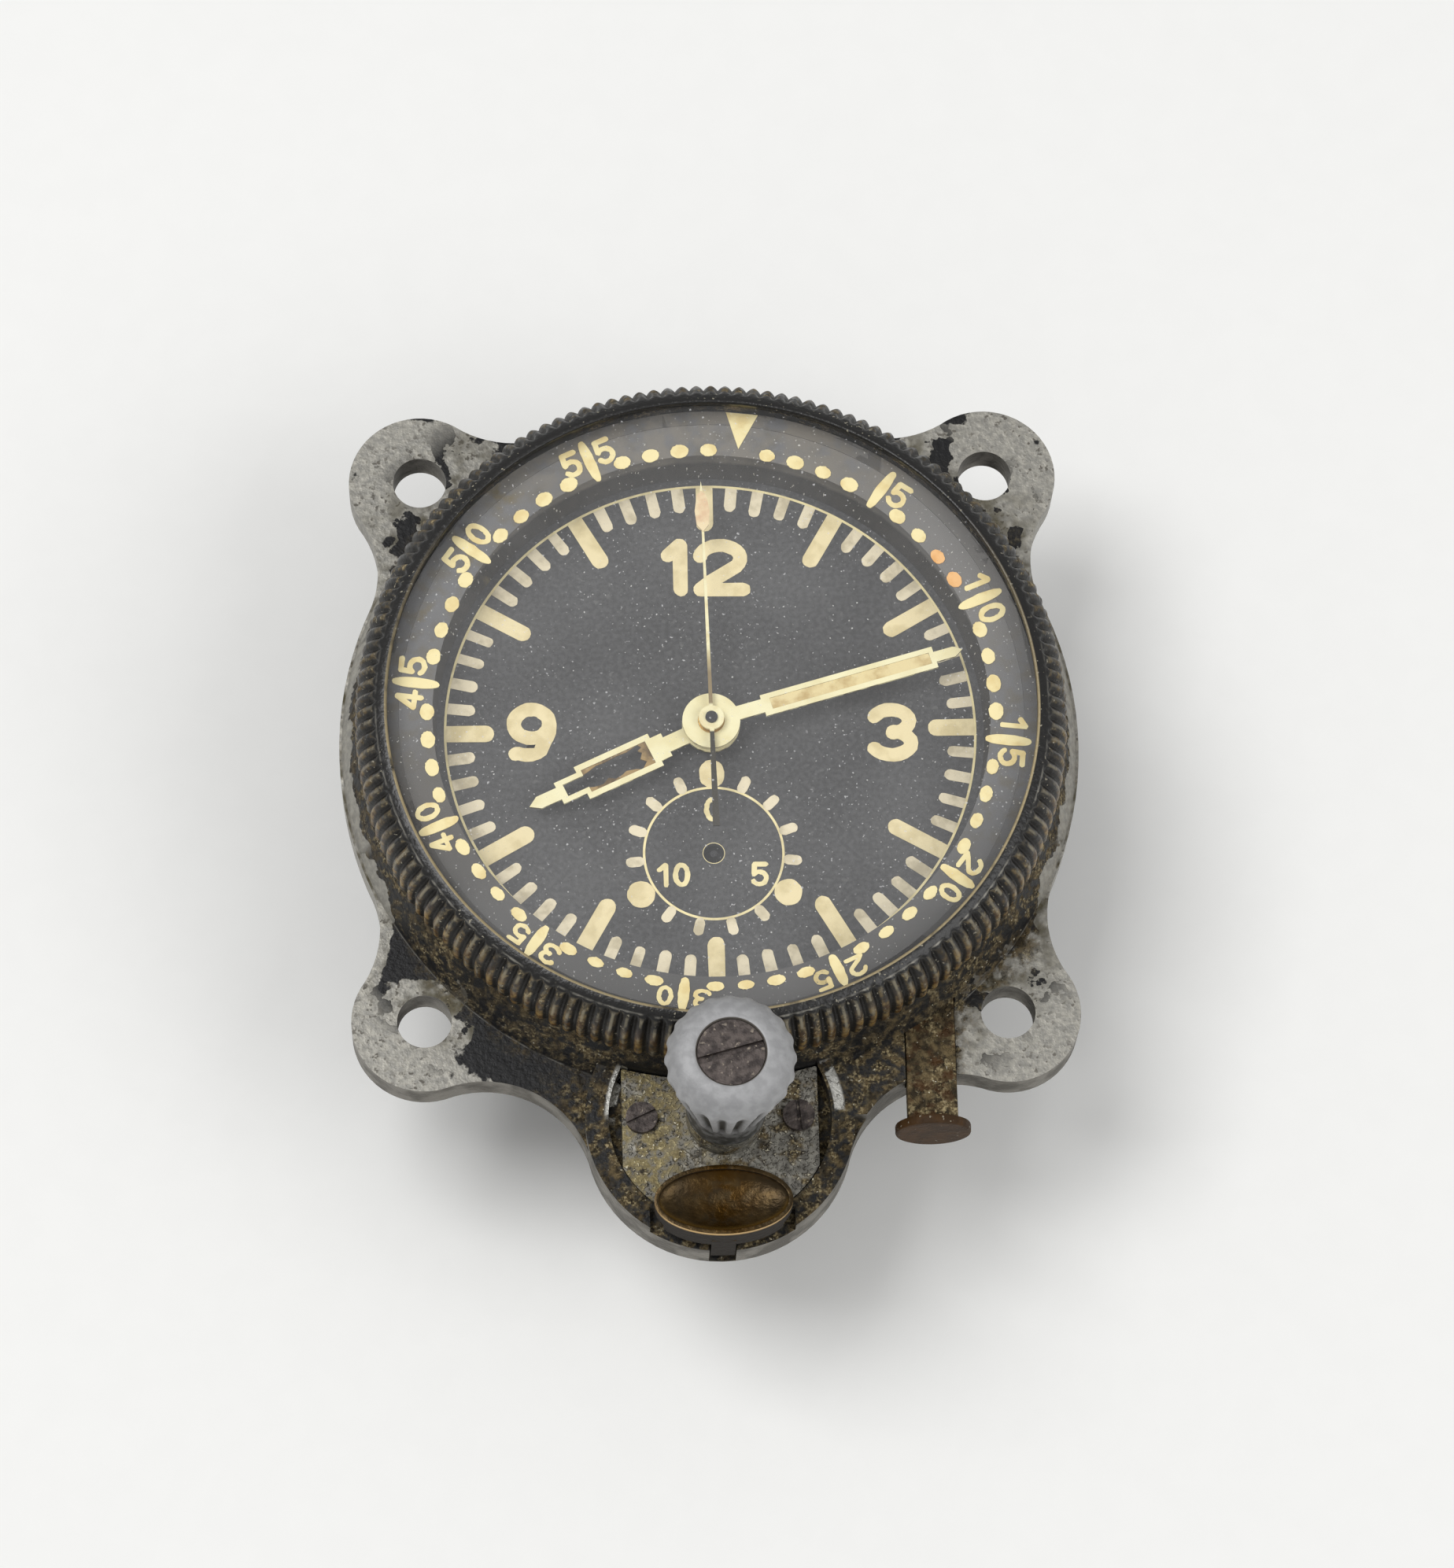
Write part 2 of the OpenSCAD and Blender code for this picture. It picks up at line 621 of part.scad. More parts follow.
// Sloping fluted cap on that ring, with the lip over the crystal
module bezel_cap() {
    slope = atan2(bezel_r - shoulder_r, shoulder_h);
    color("black") difference() {
        rotate_extrude() polygon([[bezel_bore_r, shoulder_z], [bezel_r, shoulder_z],
            [shoulder_r, shoulder_z + shoulder_h], [lip_r, bezel_top], [opening_r, bezel_top],
            [opening_r, crystal_top], [bezel_bore_r, crystal_top]]);
        for (i = [0 : flutes - 1]) rotate(i * 360 / flutes)
            translate([bezel_r, 0, shoulder_z]) rotate([0, -slope, 0])
                translate([flute_r - flute_depth, 0, -1]) cylinder(r = flute_r, h = shoulder_h / cos(slope) + 0.75);
    }
}

module bezel_wire() {
    color("silver") difference() {
        tube(centre_p, wire_in, neck_r + wire_w / 2, wire_z, wire_z + wire_h);
        at([neck_r, 0], wire_z) cube([4, 2, 2], center = true);
    }
}

module crystal() {
    color([0.8, 0.85, 0.85, 0.3]) shaft(centre_p, crystal_r, crystal_z, crystal_top - fix_gap);
}

module crystal_ring() {
    color("black") tube(centre_p, crystal_r - crystal_ring_w, crystal_r,
                        crystal_z - crystal_ring_t, crystal_z);
}

module dial() {
    color("black") {
        difference() {
            shaft(centre_p, dial_r, dial_z, dial_top);
            shaft(centre_p, dial_hole_r, dial_z - 1, dial_top + 1);
            shaft(counter_p, counter_hole_r, dial_z - 1, dial_top + 1);
        }
        for (p = foot_ps) shaft(p, stud_r, plate_top - 1, dial_z + eps);
    }
}

module dial_ring() {
    color("black") rotate_extrude() polygon([[sight_r, dial_top], [dial_r, dial_top],
        [dial_r, dial_ring_lip_z], [dial_ring_lip_r, dial_ring_lip_z], [dial_ring_lip_r, neck_top - 0.1],
        [dial_r + 0.2, neck_top - 0.1]]);
}

module dial_spacer() {
    color("darkgoldenrod") difference() {
        tube(centre_p, ledge_r + 0.2, dial_r, plate_top, dial_z);
        shaft(winding_p, tip_r(winding_teeth, power_m) + face_gap, plate_top - 1, winding_z + winding_t + face_gap);
        for (p = movement_screw_ps) shaft(p, 1.1, plate_top - 1, plate_top + 1);
    }
}

// Outline of a stepped skeleton hand: each step is [distance where it starts, width]
module stepped_hand(steps, tip) {
    n = len(steps);
    polygon(concat(
        [for (i = [0 : n - 1], k = [0, 1])
            [steps[i][1] / 2, k == 0 ? steps[i][0] : (i < n - 1 ? steps[i + 1][0] : tip - steps[i][1] * 0.8)]],
        [[0, tip]],
        [for (i = [n - 1 : -1 : 0], k = [1, 0])
            [-steps[i][1] / 2, k == 0 ? steps[i][0] : (i < n - 1 ? steps[i + 1][0] : tip - steps[i][1] * 0.8)]]));
}

module hour_hand() {
    color("khaki") translate([0, 0, hour_z]) linear_extrude(hand_t) difference() {
        rotate(-hour_angle) difference() {
            union() {
                circle(hub_r);
                stepped_hand([[0, 1.4], [4.1, 2.2], [5.1, 3.1], [hour_l - 4.8, 2], [hour_l - 2.7, 1.1]], hour_l);
            }
            window_shape(hour_window, 0);
            window_shape(hour_slot, 0);
        }
        circle(pipe_r + fix_gap);
    }
}

module minute_hand() {
    color("khaki") translate([0, 0, minute_z]) linear_extrude(hand_t) difference() {
        rotate(-minute_angle) difference() {
            union() {
                circle(hub_r);
                stepped_hand([[0, 1.2], [4.5, 1.9], [minute_l - 2.4, 0.9]], minute_l);
            }
            window_shape(minute_window, 0);
        }
        circle(tube_r + fix_gap);
    }
}

// Window of a skeleton hand: its width, its start and its end
module window_shape(window, gap) {
    translate([-window[0] / 2 + gap, window[1] + gap])
        square([window[0] - 2 * gap, window[2] - window[1] - 2 * gap]);
}

module minute_lume() {
    color("lightyellow") translate([0, 0, minute_z]) linear_extrude(hand_t - 0.05)
        rotate(-minute_angle) window_shape(minute_window, fix_gap);
}

module sweep_hand() {
    color("khaki") translate([0, 0, sweep_z]) linear_extrude(hand_t) rotate(-sweep_angle) difference() {
        union() {
            circle(sweep_r + 0.55);
            polygon([[-0.28, -sweep_tail], [0.28, -sweep_tail], [0.16, 0], [0.1, sweep_l - 4.2],
                     [0.55, sweep_l - 2.6], [0.12, sweep_l - 1], [0, sweep_l], [-0.12, sweep_l - 1],
                     [-0.55, sweep_l - 2.6], [-0.1, sweep_l - 4.2], [-0.16, 0]]);
        }
        circle(sweep_r + fix_gap);
    }
}

module crown() {
    c = [crown_r - crown_round, crown_top - crown_round];
    slope = atan2(crown_r - crown_foot_r, c[1] - crown_z - crown_foot_h);
    color("silver") at(crown_p, 0) difference() {
        rotate_extrude() polygon(concat(
            [[shaft_r + fix_gap, crown_z], [crown_foot_r - 0.2, crown_z], [crown_foot_r, crown_z + 0.3],
             [crown_foot_r, crown_z + crown_foot_h]],
            [for (a = [0 : 15 : 90]) c + polar(crown_round, a)],
            [[crown_screw_r + slide_gap, crown_top], [crown_screw_r + slide_gap, crown_top - crown_screw_t],
             [shaft_r + fix_gap, crown_top - crown_screw_t]]));
        for (i = [0 : crown_flutes - 1]) rotate(i * 360 / crown_flutes)
            translate([crown_foot_r, 0, crown_z + crown_foot_h]) rotate([0, slope, 0])
                translate([0.18, 0, -0.6]) cylinder(r = 0.42, h = c[1] - crown_z);
    }
}

module crown_screw() {
    color("saddlebrown") {
        shaft(crown_p, 0.5, crown_top - 5, crown_top - crown_screw_t + eps);
        difference() {
            shaft(crown_p, crown_screw_r, crown_top - crown_screw_t, crown_top - 0.2);
            at(crown_p, crown_top - 0.6) rotate(15) translate([-4, -0.3, 0]) cube([8, 0.6, 1]);
        }
    }
}

module winding_shaft() {
    color("silver") difference() {
        union() {
            shaft(crown_p, shaft_r, pocket_z - 0.5, crown_top - crown_screw_t);
            wheel(crown_p, winding_z, winding_t, crown_teeth, power_m, 0);
        }
        shaft(crown_p, 0.5 + fix_gap, crown_top - 5.2, crown_top);
    }
}

module winding_wheel() {
    color("goldenrod") difference() {
        wheel(winding_p, winding_z, winding_t, winding_teeth, power_m, winding_turn);
        shaft(winding_p, post_r + run_gap, winding_z - 1, winding_z + winding_t + 1);
    }
}

module ratchet_wheel() {
    color("goldenrod") difference() {
        wheel(barrel_p, winding_z, winding_t, ratchet_teeth, power_m, ratchet_turn);
        shaft(barrel_p, barrel_arbor_r + fix_gap, winding_z - 1, winding_z + winding_t + 1);
    }
}

// The click rides just clear of the ratchet's tooth tips
module click() {
    reach = norm(click_p - barrel_p) - tip_r(ratchet_teeth, power_m) - 0.2;
    color("silver") at(click_p, winding_z) difference() {
        linear_extrude(wheel_t * 2) rotate(bearing(click_p, barrel_p)) {
            circle(1.3);
            polygon([[0, -1.2], [reach, -0.2], [reach, 0.2], [0, 1.2]]);
        }
        translate([0, 0, -1]) cylinder(r = stud_r + run_gap, h = 4);
    }
}

// Oval outline of the thumb plate
module thumb_oval() {
    translate(thumb_p) polygon([for (a = [0 : 6 : 354]) [cos(a) * thumb_w, sin(a) * thumb_d] / 2]);
}

module thumb_plate() {
    color("sienna") {
        difference() {
            translate([0, 0, thumb_z]) linear_extrude(thumb_t) thumb_oval();
            at(thumb_p, thumb_top) scale([thumb_w / 2 - 0.35, thumb_d / 2 - 0.35, thumb_t * 0.45]) sphere(1, $fn = 36);
        }
        translate([0, 0, thumb_z - 1.1]) linear_extrude(1.1 + eps) intersection() {
            thumb_oval();
            translate([-thumb_w, skirt_y - 10]) square([2 * thumb_w, 10]);
        }
        translate([-tab_w / 2, -crown_y - lobe_r + 0.15, 1.4]) cube([tab_w, tab_t, thumb_z - 1.4 + eps]);
        shaft(thumb_stem_p, thumb_stem_r, 2, thumb_z + eps);
    }
}

module thumb_spring() {
    h = thumb_z - cover_top + spring_seat;
    color("silver") at(thumb_stem_p, cover_top - spring_seat) coil(thumb_stem_r + 0.35, 0.13, 3, h - 0.02);
}

module setting_bar() {
    color("black") translate([bar_x - bar_w / 2, bar_out_y, bar_z]) cube([bar_w, bar_l, bar_t]);
}

module setting_button() {
    color("black") translate([bar_x, bar_out_y, bar_mid_z]) rotate([90, 0, 0])
        cylinder(r = button_d / 2, h = button_t);
}

module setting_spring() {
    color("silver") translate([bar_x, bar_in_y, bar_mid_z]) rotate([-90, 0, 0])
        coil(spring_hole_r - 0.25, 0.13, 4, spring_end_y - bar_in_y - 0.02);
}

module main_plate() {
    color("goldenrod") difference() {
        shaft(centre_p, plate_r, plate_z, plate_top);
        shaft(centre_p, tube_r + run_gap, plate_z - 1, plate_top + 1);
        shaft(barrel_p, barrel_arbor_r + run_gap, plate_z - 1, plate_top + 1);
        shaft(transfer_p, arbor_r + run_gap, plate_z - 1, plate_top + 1);
        for (p = jewel_main_ps) shaft(p, jewel_r + fix_gap, plate_z - 1, plate_top + 1);
        for (p = movement_screw_ps) shaft(p, stud_r + slide_gap, plate_z - 1, plate_top + 1);
        for (p = foot_ps) shaft(p, stud_r + slide_gap, plate_top - 1.2, plate_top + 1);
        for (p = [winding_p, minute_p, click_p]) shaft(p, stud_r + fix_gap, plate_top - 1.5, plate_top + 1);
    }
}

module movement_screws() {
    color("steelblue") for (p = movement_screw_ps) {
        shaft(p, stud_r, plate_z - 1.3, plate_top + eps);
        screw_head(p, 0.8, plate_top, 0.7, 30);
    }
}

// Studs in the main plate for the winding wheel, the minute wheel and the click
module plate_studs() {
    color("silver") {
        shaft(winding_p, stud_r, plate_top - 1.4, plate_top + eps);
        shaft(winding_p, post_r, plate_top, winding_z + winding_t + 0.2);
        shaft(winding_p, post_r + 0.6, plate_top, winding_z - slide_gap);
        shaft(minute_p, stud_r, plate_top - 1.4, hour_wheel_z + wheel_t);
        shaft(click_p, stud_r, plate_top - 1.4, winding_z + wheel_t * 2 + 0.2);
        shaft(click_p, stud_r + 0.4, plate_top, winding_z - slide_gap);
    }
}

module pillars() {
    color("goldenrod") for (p = pillar_ps) difference() {
        shaft(p, 1.6, back_top, plate_z);
        shaft(p, 0.7 + fix_gap, back_top - 1, back_top + 3);
    }
}

module back_plate() {
    color("goldenrod") difference() {
        shaft(centre_p, back_plate_r, back_z, back_top);
        shaft(balance_p, balance_r + 0.5, back_z - 1, back_top + 1);
        at(balance_p, back_z - 1) rotate(balance_dir) translate([0, -2.6, 0]) cube([15, 5.2, back_plate_t + 2]);
        shaft(centre_p, tube_r + run_gap, back_z - 1, back_top + 1);
        shaft(barrel_p, barrel_arbor_r + run_gap, back_z - 1, back_top + 1);
        shaft(transfer_p, arbor_r + run_gap, back_z - 1, back_top + 1);
        for (p = jewel_back_ps) shaft(p, jewel_r + fix_gap, back_z - 1, back_top + 1);
        for (p = pillar_ps) shaft(p, 0.7 + slide_gap, back_z - 1, back_top + 1);
        shaft(sweep_foot_p, 0.7 + fix_gap, back_z - 1, back_z + 1.6);
    }
}

module pillar_screws() {
    color("steelblue") for (p = pillar_ps) {
        shaft(p, 0.7, back_z - eps, back_top + 2.5);
        shaft(p, 1.4, back_z - 0.6, back_z);
    }
}

module jewels() {
    color("crimson") {
        for (p = jewel_main_ps) tube(p, arbor_r + run_gap, jewel_r, plate_z, plate_z + jewel_t);
        for (p = jewel_back_ps) tube(p, arbor_r + run_gap, jewel_r, back_top - jewel_t, back_top);
        tube(balance_p, arbor_r + run_gap, jewel_r, back_top - jewel_t, back_top);
    }
}

module barrel() {
    color("goldenrod") difference() {
        union() {
            wheel(barrel_p, barrel_z, barrel_tooth_t, barrel_teeth, power_m, barrel_turn);
            shaft(barrel_p, barrel_r, barrel_z, barrel_top - barrel_cover_t);
        }
        shaft(barrel_p, barrel_r - 0.6, barrel_z + barrel_tooth_t, barrel_top);
        shaft(barrel_p, barrel_arbor_r + run_gap, barrel_z - 1, barrel_top);
    }
}

module barrel_cover() {
    color("goldenrod") tube(barrel_p, barrel_arbor_r + run_gap, barrel_r, barrel_top - barrel_cover_t, barrel_top);
}

module barrel_arbor() {
    color("silver") {
        shaft(barrel_p, barrel_arbor_r, back_top - 1.2, winding_z + winding_t);
        shaft(barrel_p, barrel_arbor_r + 1.2, barrel_z + barrel_tooth_t + slide_gap,
              barrel_top - barrel_cover_t - slide_gap);
    }
}

module mainspring() {
    color("steelblue") at(barrel_p, barrel_z + barrel_tooth_t + 0.2)
        linear_extrude(barrel_top - barrel_cover_t - barrel_z - barrel_tooth_t - 0.4)
            spiral_strip(barrel_arbor_r + 1.7, barrel_r - 0.9, 7, 0.25);
}

// Hollow arbor with the centre wheel and the pinion that the barrel drives
module centre_wheel() {
    color("goldenrod") difference() {
        union() {
            shaft(centre_p, tube_r, back_top - 1.2, minute_z + hand_t);
            wheel(centre_p, barrel_z - 0.2, barrel_tooth_t + 0.4, centre_pinion_teeth, power_m, 0);
            crossed_wheel(centre_p, centre_z, centre_teeth, centre_m, 0, 5);
        }
        shaft(centre_p, tube_in_r, back_z - 1, minute_z + 2);
    }
}

module cannon_pinion() {
    color("silver") difference() {
        wheel(centre_p, cannon_z, 1.2, cannon_teeth, motion_m, 0);
        shaft(centre_p, tube_r + fix_gap, cannon_z - 1, cannon_z + 3);
    }
}

module minute_wheel() {
    turn = mesh_turn(0, cannon_teeth, bearing(centre_p, minute_p), minute_teeth);
    color("goldenrod") difference() {
        union() {
            wheel(minute_p, minute_wheel_z, wheel_t, minute_teeth, motion_m, turn);
            wheel(minute_p, minute_wheel_z + wheel_t - eps, 1.6, minute_pinion_teeth, hour_m, 0);
        }
        shaft(minute_p, stud_r + run_gap, minute_wheel_z - 1, minute_wheel_z + 4);
    }
}

module hour_wheel() {
    turn = mesh_turn(0, minute_pinion_teeth, bearing(minute_p, centre_p), hour_teeth);
    color("goldenrod") difference() {
        union() {
            wheel(centre_p, hour_wheel_z, wheel_t, hour_teeth, hour_m, turn);
            shaft(centre_p, pipe_r, hour_wheel_z - 0.2, hour_z + hand_t);
        }
        shaft(centre_p, pipe_in_r, hour_wheel_z - 1, hour_z + 2);
    }
}

// Train arbor with a pinion at the height of the wheel that drives it
module leafed_arbor(p, pinion_z, m, turn) {
    shaft(p, arbor_r, back_top - jewel_t, plate_z + jewel_t);
    wheel(p, pinion_z - 0.3, wheel_t + 0.6, leaf_teeth, m, turn);
}

module third_wheel() {
    color("goldenrod") {
        leafed_arbor(third_p, centre_z, centre_m,
                     mesh_turn(0, centre_teeth, bearing(centre_p, third_p), leaf_teeth));
        crossed_wheel(third_p, third_z, third_teeth, third_m, 0, 5);
    }
}

module fourth_wheel() {
    color("goldenrod") {
        leafed_arbor(fourth_p, third_z, third_m,
                     mesh_turn(0, third_teeth, bearing(third_p, fourth_p), leaf_teeth));
        crossed_wheel(fourth_p, fourth_z, fourth_teeth, fourth_m, 0, 5);
    }
}

module escape_wheel() {
    color("silver") {
        leafed_arbor(escape_p, fourth_z, fourth_m,
                     mesh_turn(0, fourth_teeth, bearing(fourth_p, escape_p), leaf_teeth));
        at(escape_p, escape_z) rotate(pallet_dir) linear_extrude(wheel_t) difference() {
            polygon([for (i = [0 : escape_teeth - 1], k = [0, 1, 2])
                polar([escape_r * 0.74, escape_r * 0.74, escape_r][k],
                      (i + [-0.62, -0.12, 0][k]) * 360 / escape_teeth)]);
            for (i = [0 : 3]) rotate(i * 90) translate([escape_r * 0.42, 0]) circle(escape_r * 0.19);
        }
    }
}

module pallet_fork() {
    arm = [pallet_d - escape_r * 1.13 * cos(36), escape_r * 1.13 * sin(36)];
    tail = norm(balance_p - pallet_p) - 1.55;
    color("silver") {
        shaft(pallet_p, arbor_r, back_top - jewel_t, plate_z + jewel_t);
        at(pallet_p, escape_z) linear_extrude(wheel_t) rotate(pallet_dir + 180) {
            circle(0.7);
            for (s = [-1, 1]) {
                polygon([[-0.5, s * 0.1], [0.3, -s * 0.4], [arm[0] + 0.15, s * arm[1]], [arm[0] - 0.25, s * arm[1]]]);
                translate([-tail, s * 0.42 - 0.16]) square([1, 0.32]);
            }
            translate([1 - tail, -0.4]) square([tail - 1, 0.8]);
        }
    }
}

module balance_wheel() {
    color("goldenrod") {
        shaft(balance_p, arbor_r, back_top - jewel_t, plate_z + jewel_t);
        shaft(balance_p, 1.2, escape_z - 0.1, escape_z + wheel_t + 0.1);
        tube(balance_p, balance_r - 1, balance_r, balance_top - balance_t, balance_top);
        at(balance_p, balance_top - balance_t) difference() {
            translate([-balance_r + 0.5, -0.7, 0]) cube([2 * balance_r - 1, 1.4, 0.6]);
        }
        shaft(balance_p, 1, balance_top - balance_t, balance_top - 0.3);
    }
}

module hairspring() {
    color("steelblue") at(balance_p, escape_z - 0.6) rotate(balance_dir)
        linear_extrude(0.3) spiral_strip(0.7, 2.65, 6, 0.1);
}

module balance_cock() {
    color("goldenrod") {
        difference() {
            at(balance_p, back_z) linear_extrude(back_plate_t) rotate(balance_dir) {
                circle(2.2);
                translate([0, -2.2]) square([norm(cock_foot_p - balance_p), 4.4]);
                translate([norm(cock_foot_p - balance_p), 0]) circle(2.2);
            }
            shaft(balance_p, jewel_r + fix_gap, back_z - 1, back_top + 1);
            shaft(cock_foot_p, 0.7 + slide_gap, back_z - 1, back_top + 1);
        }
        shaft(balance_p + polar(3.05, balance_dir), 0.3, back_top - eps, escape_z - 0.3);
    }
}

// Pillar and screw under the balance cock's foot
module cock_pillar() {
    color("goldenrod") {
        shaft(cock_foot_p, 1.4, back_top, plate_z);
        shaft(cock_foot_p, 0.7, back_z - eps, back_top + eps);
        shaft(cock_foot_p, 1.4, back_z - 0.6, back_z);
    }
}

module sweep_arbor() {
    color("silver") {
        shaft(centre_p, sweep_r, sweep_bridge_z + 0.3, sweep_z + hand_t + 0.2);
        wheel(centre_p, runner_z - 0.3, wheel_t + 0.6, runner_teeth, runner_m, 0);
    }
}

// Heart cam that brings the sweep back to zero
module heart_cam() {
    color("silver") at(centre_p, cam_z) linear_extrude(cam_t) difference() {
        polygon([for (a = [-175 : 10 : 175]) polar(1.1 + 1.7 * abs(a) / 180, a + 90)]);
        circle(sweep_r + fix_gap);
    }
}

module sweep_bridge() {
    dir = bearing(centre_p, sweep_foot_p);
    color("goldenrod") difference() {
        union() {
            translate([0, 0, sweep_bridge_z]) linear_extrude(sweep_bridge_t) rotate(dir) {
                circle(2);
                translate([0, -2]) square([norm(sweep_foot_p), 4]);
                translate([norm(sweep_foot_p), 0]) circle(2);
            }
            shaft(sweep_foot_p, 1.8, sweep_bridge_z + sweep_bridge_t / 2, back_z);
        }
        shaft(centre_p, sweep_r + run_gap, sweep_bridge_z - 1, sweep_bridge_z + 3);
        shaft(sweep_foot_p, 0.7 + slide_gap, sweep_bridge_z - 1, back_z + 1);
    }
}

module sweep_bridge_screw() {
    color("steelblue") {
        shaft(sweep_foot_p, 0.7, sweep_bridge_z - eps, back_z + 1.5);
        shaft(sweep_foot_p, 1.4, sweep_bridge_z - bridge_head_t, sweep_bridge_z);
    }
}

module transfer_wheel() {
    color("goldenrod") {
        shaft(transfer_p, arbor_r, runner_z, counter_z + wheel_t + 0.3);
        crossed_wheel(transfer_p, runner_z, transfer_teeth, runner_m, transfer_turn, 6);
        wheel(transfer_p, counter_z - 0.2, wheel_t + 0.4, transfer_pinion_teeth, counter_m, 0);
    }
}

module counter_wheel() {
    color("goldenrod") {
        shaft(counter_p, arbor_r, bridge_z + 0.1, dial_top - 0.1);
        crossed_wheel(counter_p, counter_z, counter_teeth, counter_m, counter_turn, 6);
    }
}

// Bridge over the ratchet wheel that carries the counter's arbor
module counter_bridge() {
    half = tip_r(ratchet_teeth, power_m) + 2.4;
    color("goldenrod") difference() {
        union() {
            at(counter_p - [half, 1.5], bridge_z) cube([2 * half, 3, bridge_t]);
            for (s = [-1, 1]) shaft(counter_p + [s * half, 0], 1.5, plate_top, bridge_z + bridge_t);
        }
        shaft(counter_p, arbor_r + run_gap, bridge_z - 1, bridge_z + 2);
    }
}

case_flange();
rear_case();
case_screws();
cover_plate();
cover_screws();
bezel_ring();
bezel_cap();
bezel_wire();
crystal();
crystal_ring();
dial();
dial_ring();
dial_spacer();
hour_hand();
minute_hand();
minute_lume();
sweep_hand();
crown();
crown_screw();
winding_shaft();
winding_wheel();
ratchet_wheel();
click();
thumb_plate();
thumb_spring();
setting_button();
setting_bar();
setting_spring();
main_plate();
movement_screws();
plate_studs();
pillars();
back_plate();
pillar_screws();
jewels();
barrel();
barrel_cover();
barrel_arbor();
mainspring();
centre_wheel();
cannon_pinion();
minute_wheel();
hour_wheel();
third_wheel();
fourth_wheel();
escape_wheel();
pallet_fork();
balance_wheel();
hairspring();
balance_cock();
cock_pillar();
sweep_arbor();
heart_cam();
sweep_bridge();
sweep_bridge_screw();
transfer_wheel();
counter_wheel();
counter_bridge();
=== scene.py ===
"""Aircraft panel clock: worn finishes, painted dial and bezel scale, fluted bezel, and a studio stage."""

import json
import math
import random

import bmesh
import bpy
from bpy.props import FloatProperty, FloatVectorProperty, IntProperty, PointerProperty
from mathutils import Matrix, Vector


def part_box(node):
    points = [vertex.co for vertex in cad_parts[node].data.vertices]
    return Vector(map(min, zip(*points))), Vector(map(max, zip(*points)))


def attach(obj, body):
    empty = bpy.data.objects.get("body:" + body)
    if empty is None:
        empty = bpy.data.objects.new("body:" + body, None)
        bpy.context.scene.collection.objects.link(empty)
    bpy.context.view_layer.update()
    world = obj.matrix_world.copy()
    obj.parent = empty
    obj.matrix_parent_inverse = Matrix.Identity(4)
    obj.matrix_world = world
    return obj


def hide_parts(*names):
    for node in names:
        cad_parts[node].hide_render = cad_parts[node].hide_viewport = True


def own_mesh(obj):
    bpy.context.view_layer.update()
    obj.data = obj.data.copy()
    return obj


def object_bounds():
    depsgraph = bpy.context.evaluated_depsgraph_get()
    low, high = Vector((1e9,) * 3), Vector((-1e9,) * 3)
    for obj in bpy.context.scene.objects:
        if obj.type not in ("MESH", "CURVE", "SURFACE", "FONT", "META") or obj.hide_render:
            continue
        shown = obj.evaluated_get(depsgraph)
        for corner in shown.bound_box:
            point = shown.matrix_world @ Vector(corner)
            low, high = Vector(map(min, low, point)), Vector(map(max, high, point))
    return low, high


bl_info = {
    "name": "Aircraft Panel Clock",
    "version": (1, 0, 0),
    "blender": (4, 5, 0),
    "location": "View3D > Sidebar > Clock",
    "description": "Dresses an aircraft panel clock with worn paint, aged luminous marks and a studio stage",
    "category": "Object",
}

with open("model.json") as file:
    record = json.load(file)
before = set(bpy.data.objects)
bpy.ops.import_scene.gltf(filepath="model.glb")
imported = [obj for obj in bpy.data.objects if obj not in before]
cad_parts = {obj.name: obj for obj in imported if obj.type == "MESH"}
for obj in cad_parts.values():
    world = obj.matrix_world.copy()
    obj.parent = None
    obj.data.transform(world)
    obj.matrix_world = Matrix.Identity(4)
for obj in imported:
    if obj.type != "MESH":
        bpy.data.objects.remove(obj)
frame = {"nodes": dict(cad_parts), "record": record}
CAD_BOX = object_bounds()
NODES = frame["nodes"]

MM = 0.001
MINUTES = 60
HOURS = 12
# Height of paint over what carries it, and of one stroke over the next
LIFT = 0.004 * MM
STEP = 0.006 * MM
# Thickness of the scale's paint, and how far it has keyed into the crystal
SCALE_PAINT = 0.08 * MM
KEYED = 5 * STEP
# Columns of points across one flute
BEZEL_COLUMNS = 10
KNOB_COLUMNS = 12
# Clockwise turn of the hour hand at rest
HOUR_HAND_TURN = math.radians(245)
# Height of the camera's frame in mm and in pixels, and its focal length in pixels
SENSOR_HEIGHT = 36.0
FRAME_PIXELS = 1993
FOCAL_PIXELS = 7519


def linear(code):
    """Linear colour of an sRGB hex value."""
    parts = [int(code[i : i + 2], 16) / 255 for i in (0, 2, 4)]
    return tuple(c / 12.92 if c <= 0.04045 else ((c + 0.055) / 1.055) ** 2.4 for c in parts) + (1.0,)


def reach(node, axis=(0.0, 0.0)):
    """Smallest and largest distance of a node's points from an upright axis."""
    spots = [math.hypot(v.co.x - axis[0], v.co.y - axis[1]) for v in NODES[node].data.vertices]
    return min(spots), max(spots)


def middle(node):
    """Middle of a node's box."""
    low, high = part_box(node)
    return (low + high) / 2


def pattern_scale(size_mm):
    """Texture scale at which a pattern repeats at this size, in object space."""
    return 1 / (size_mm * MM)


MOUNTS = {m["name"]: m for m in frame["record"]["mounts"]}
HOLE_REACH = MOUNTS["panel_bolts"]["dims"]["spacing_x_mm"] * MM / 2
FLANGE_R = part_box("case_flange")[1].x
# Radii of a lug and of the hollow beside it, as the flange is drawn
LUG_R = 6.0 * MM
HOLLOW_R = 9.0 * MM
BEZEL_R = reach("bezel_ring")[1]
KNOB_AXIS = middle("crown").xy
COUNTER_AXIS = Vector((0.0, middle("counter_wheel").y))
DIAL_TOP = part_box("dial")[1].z
CRYSTAL_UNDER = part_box("crystal")[0].z


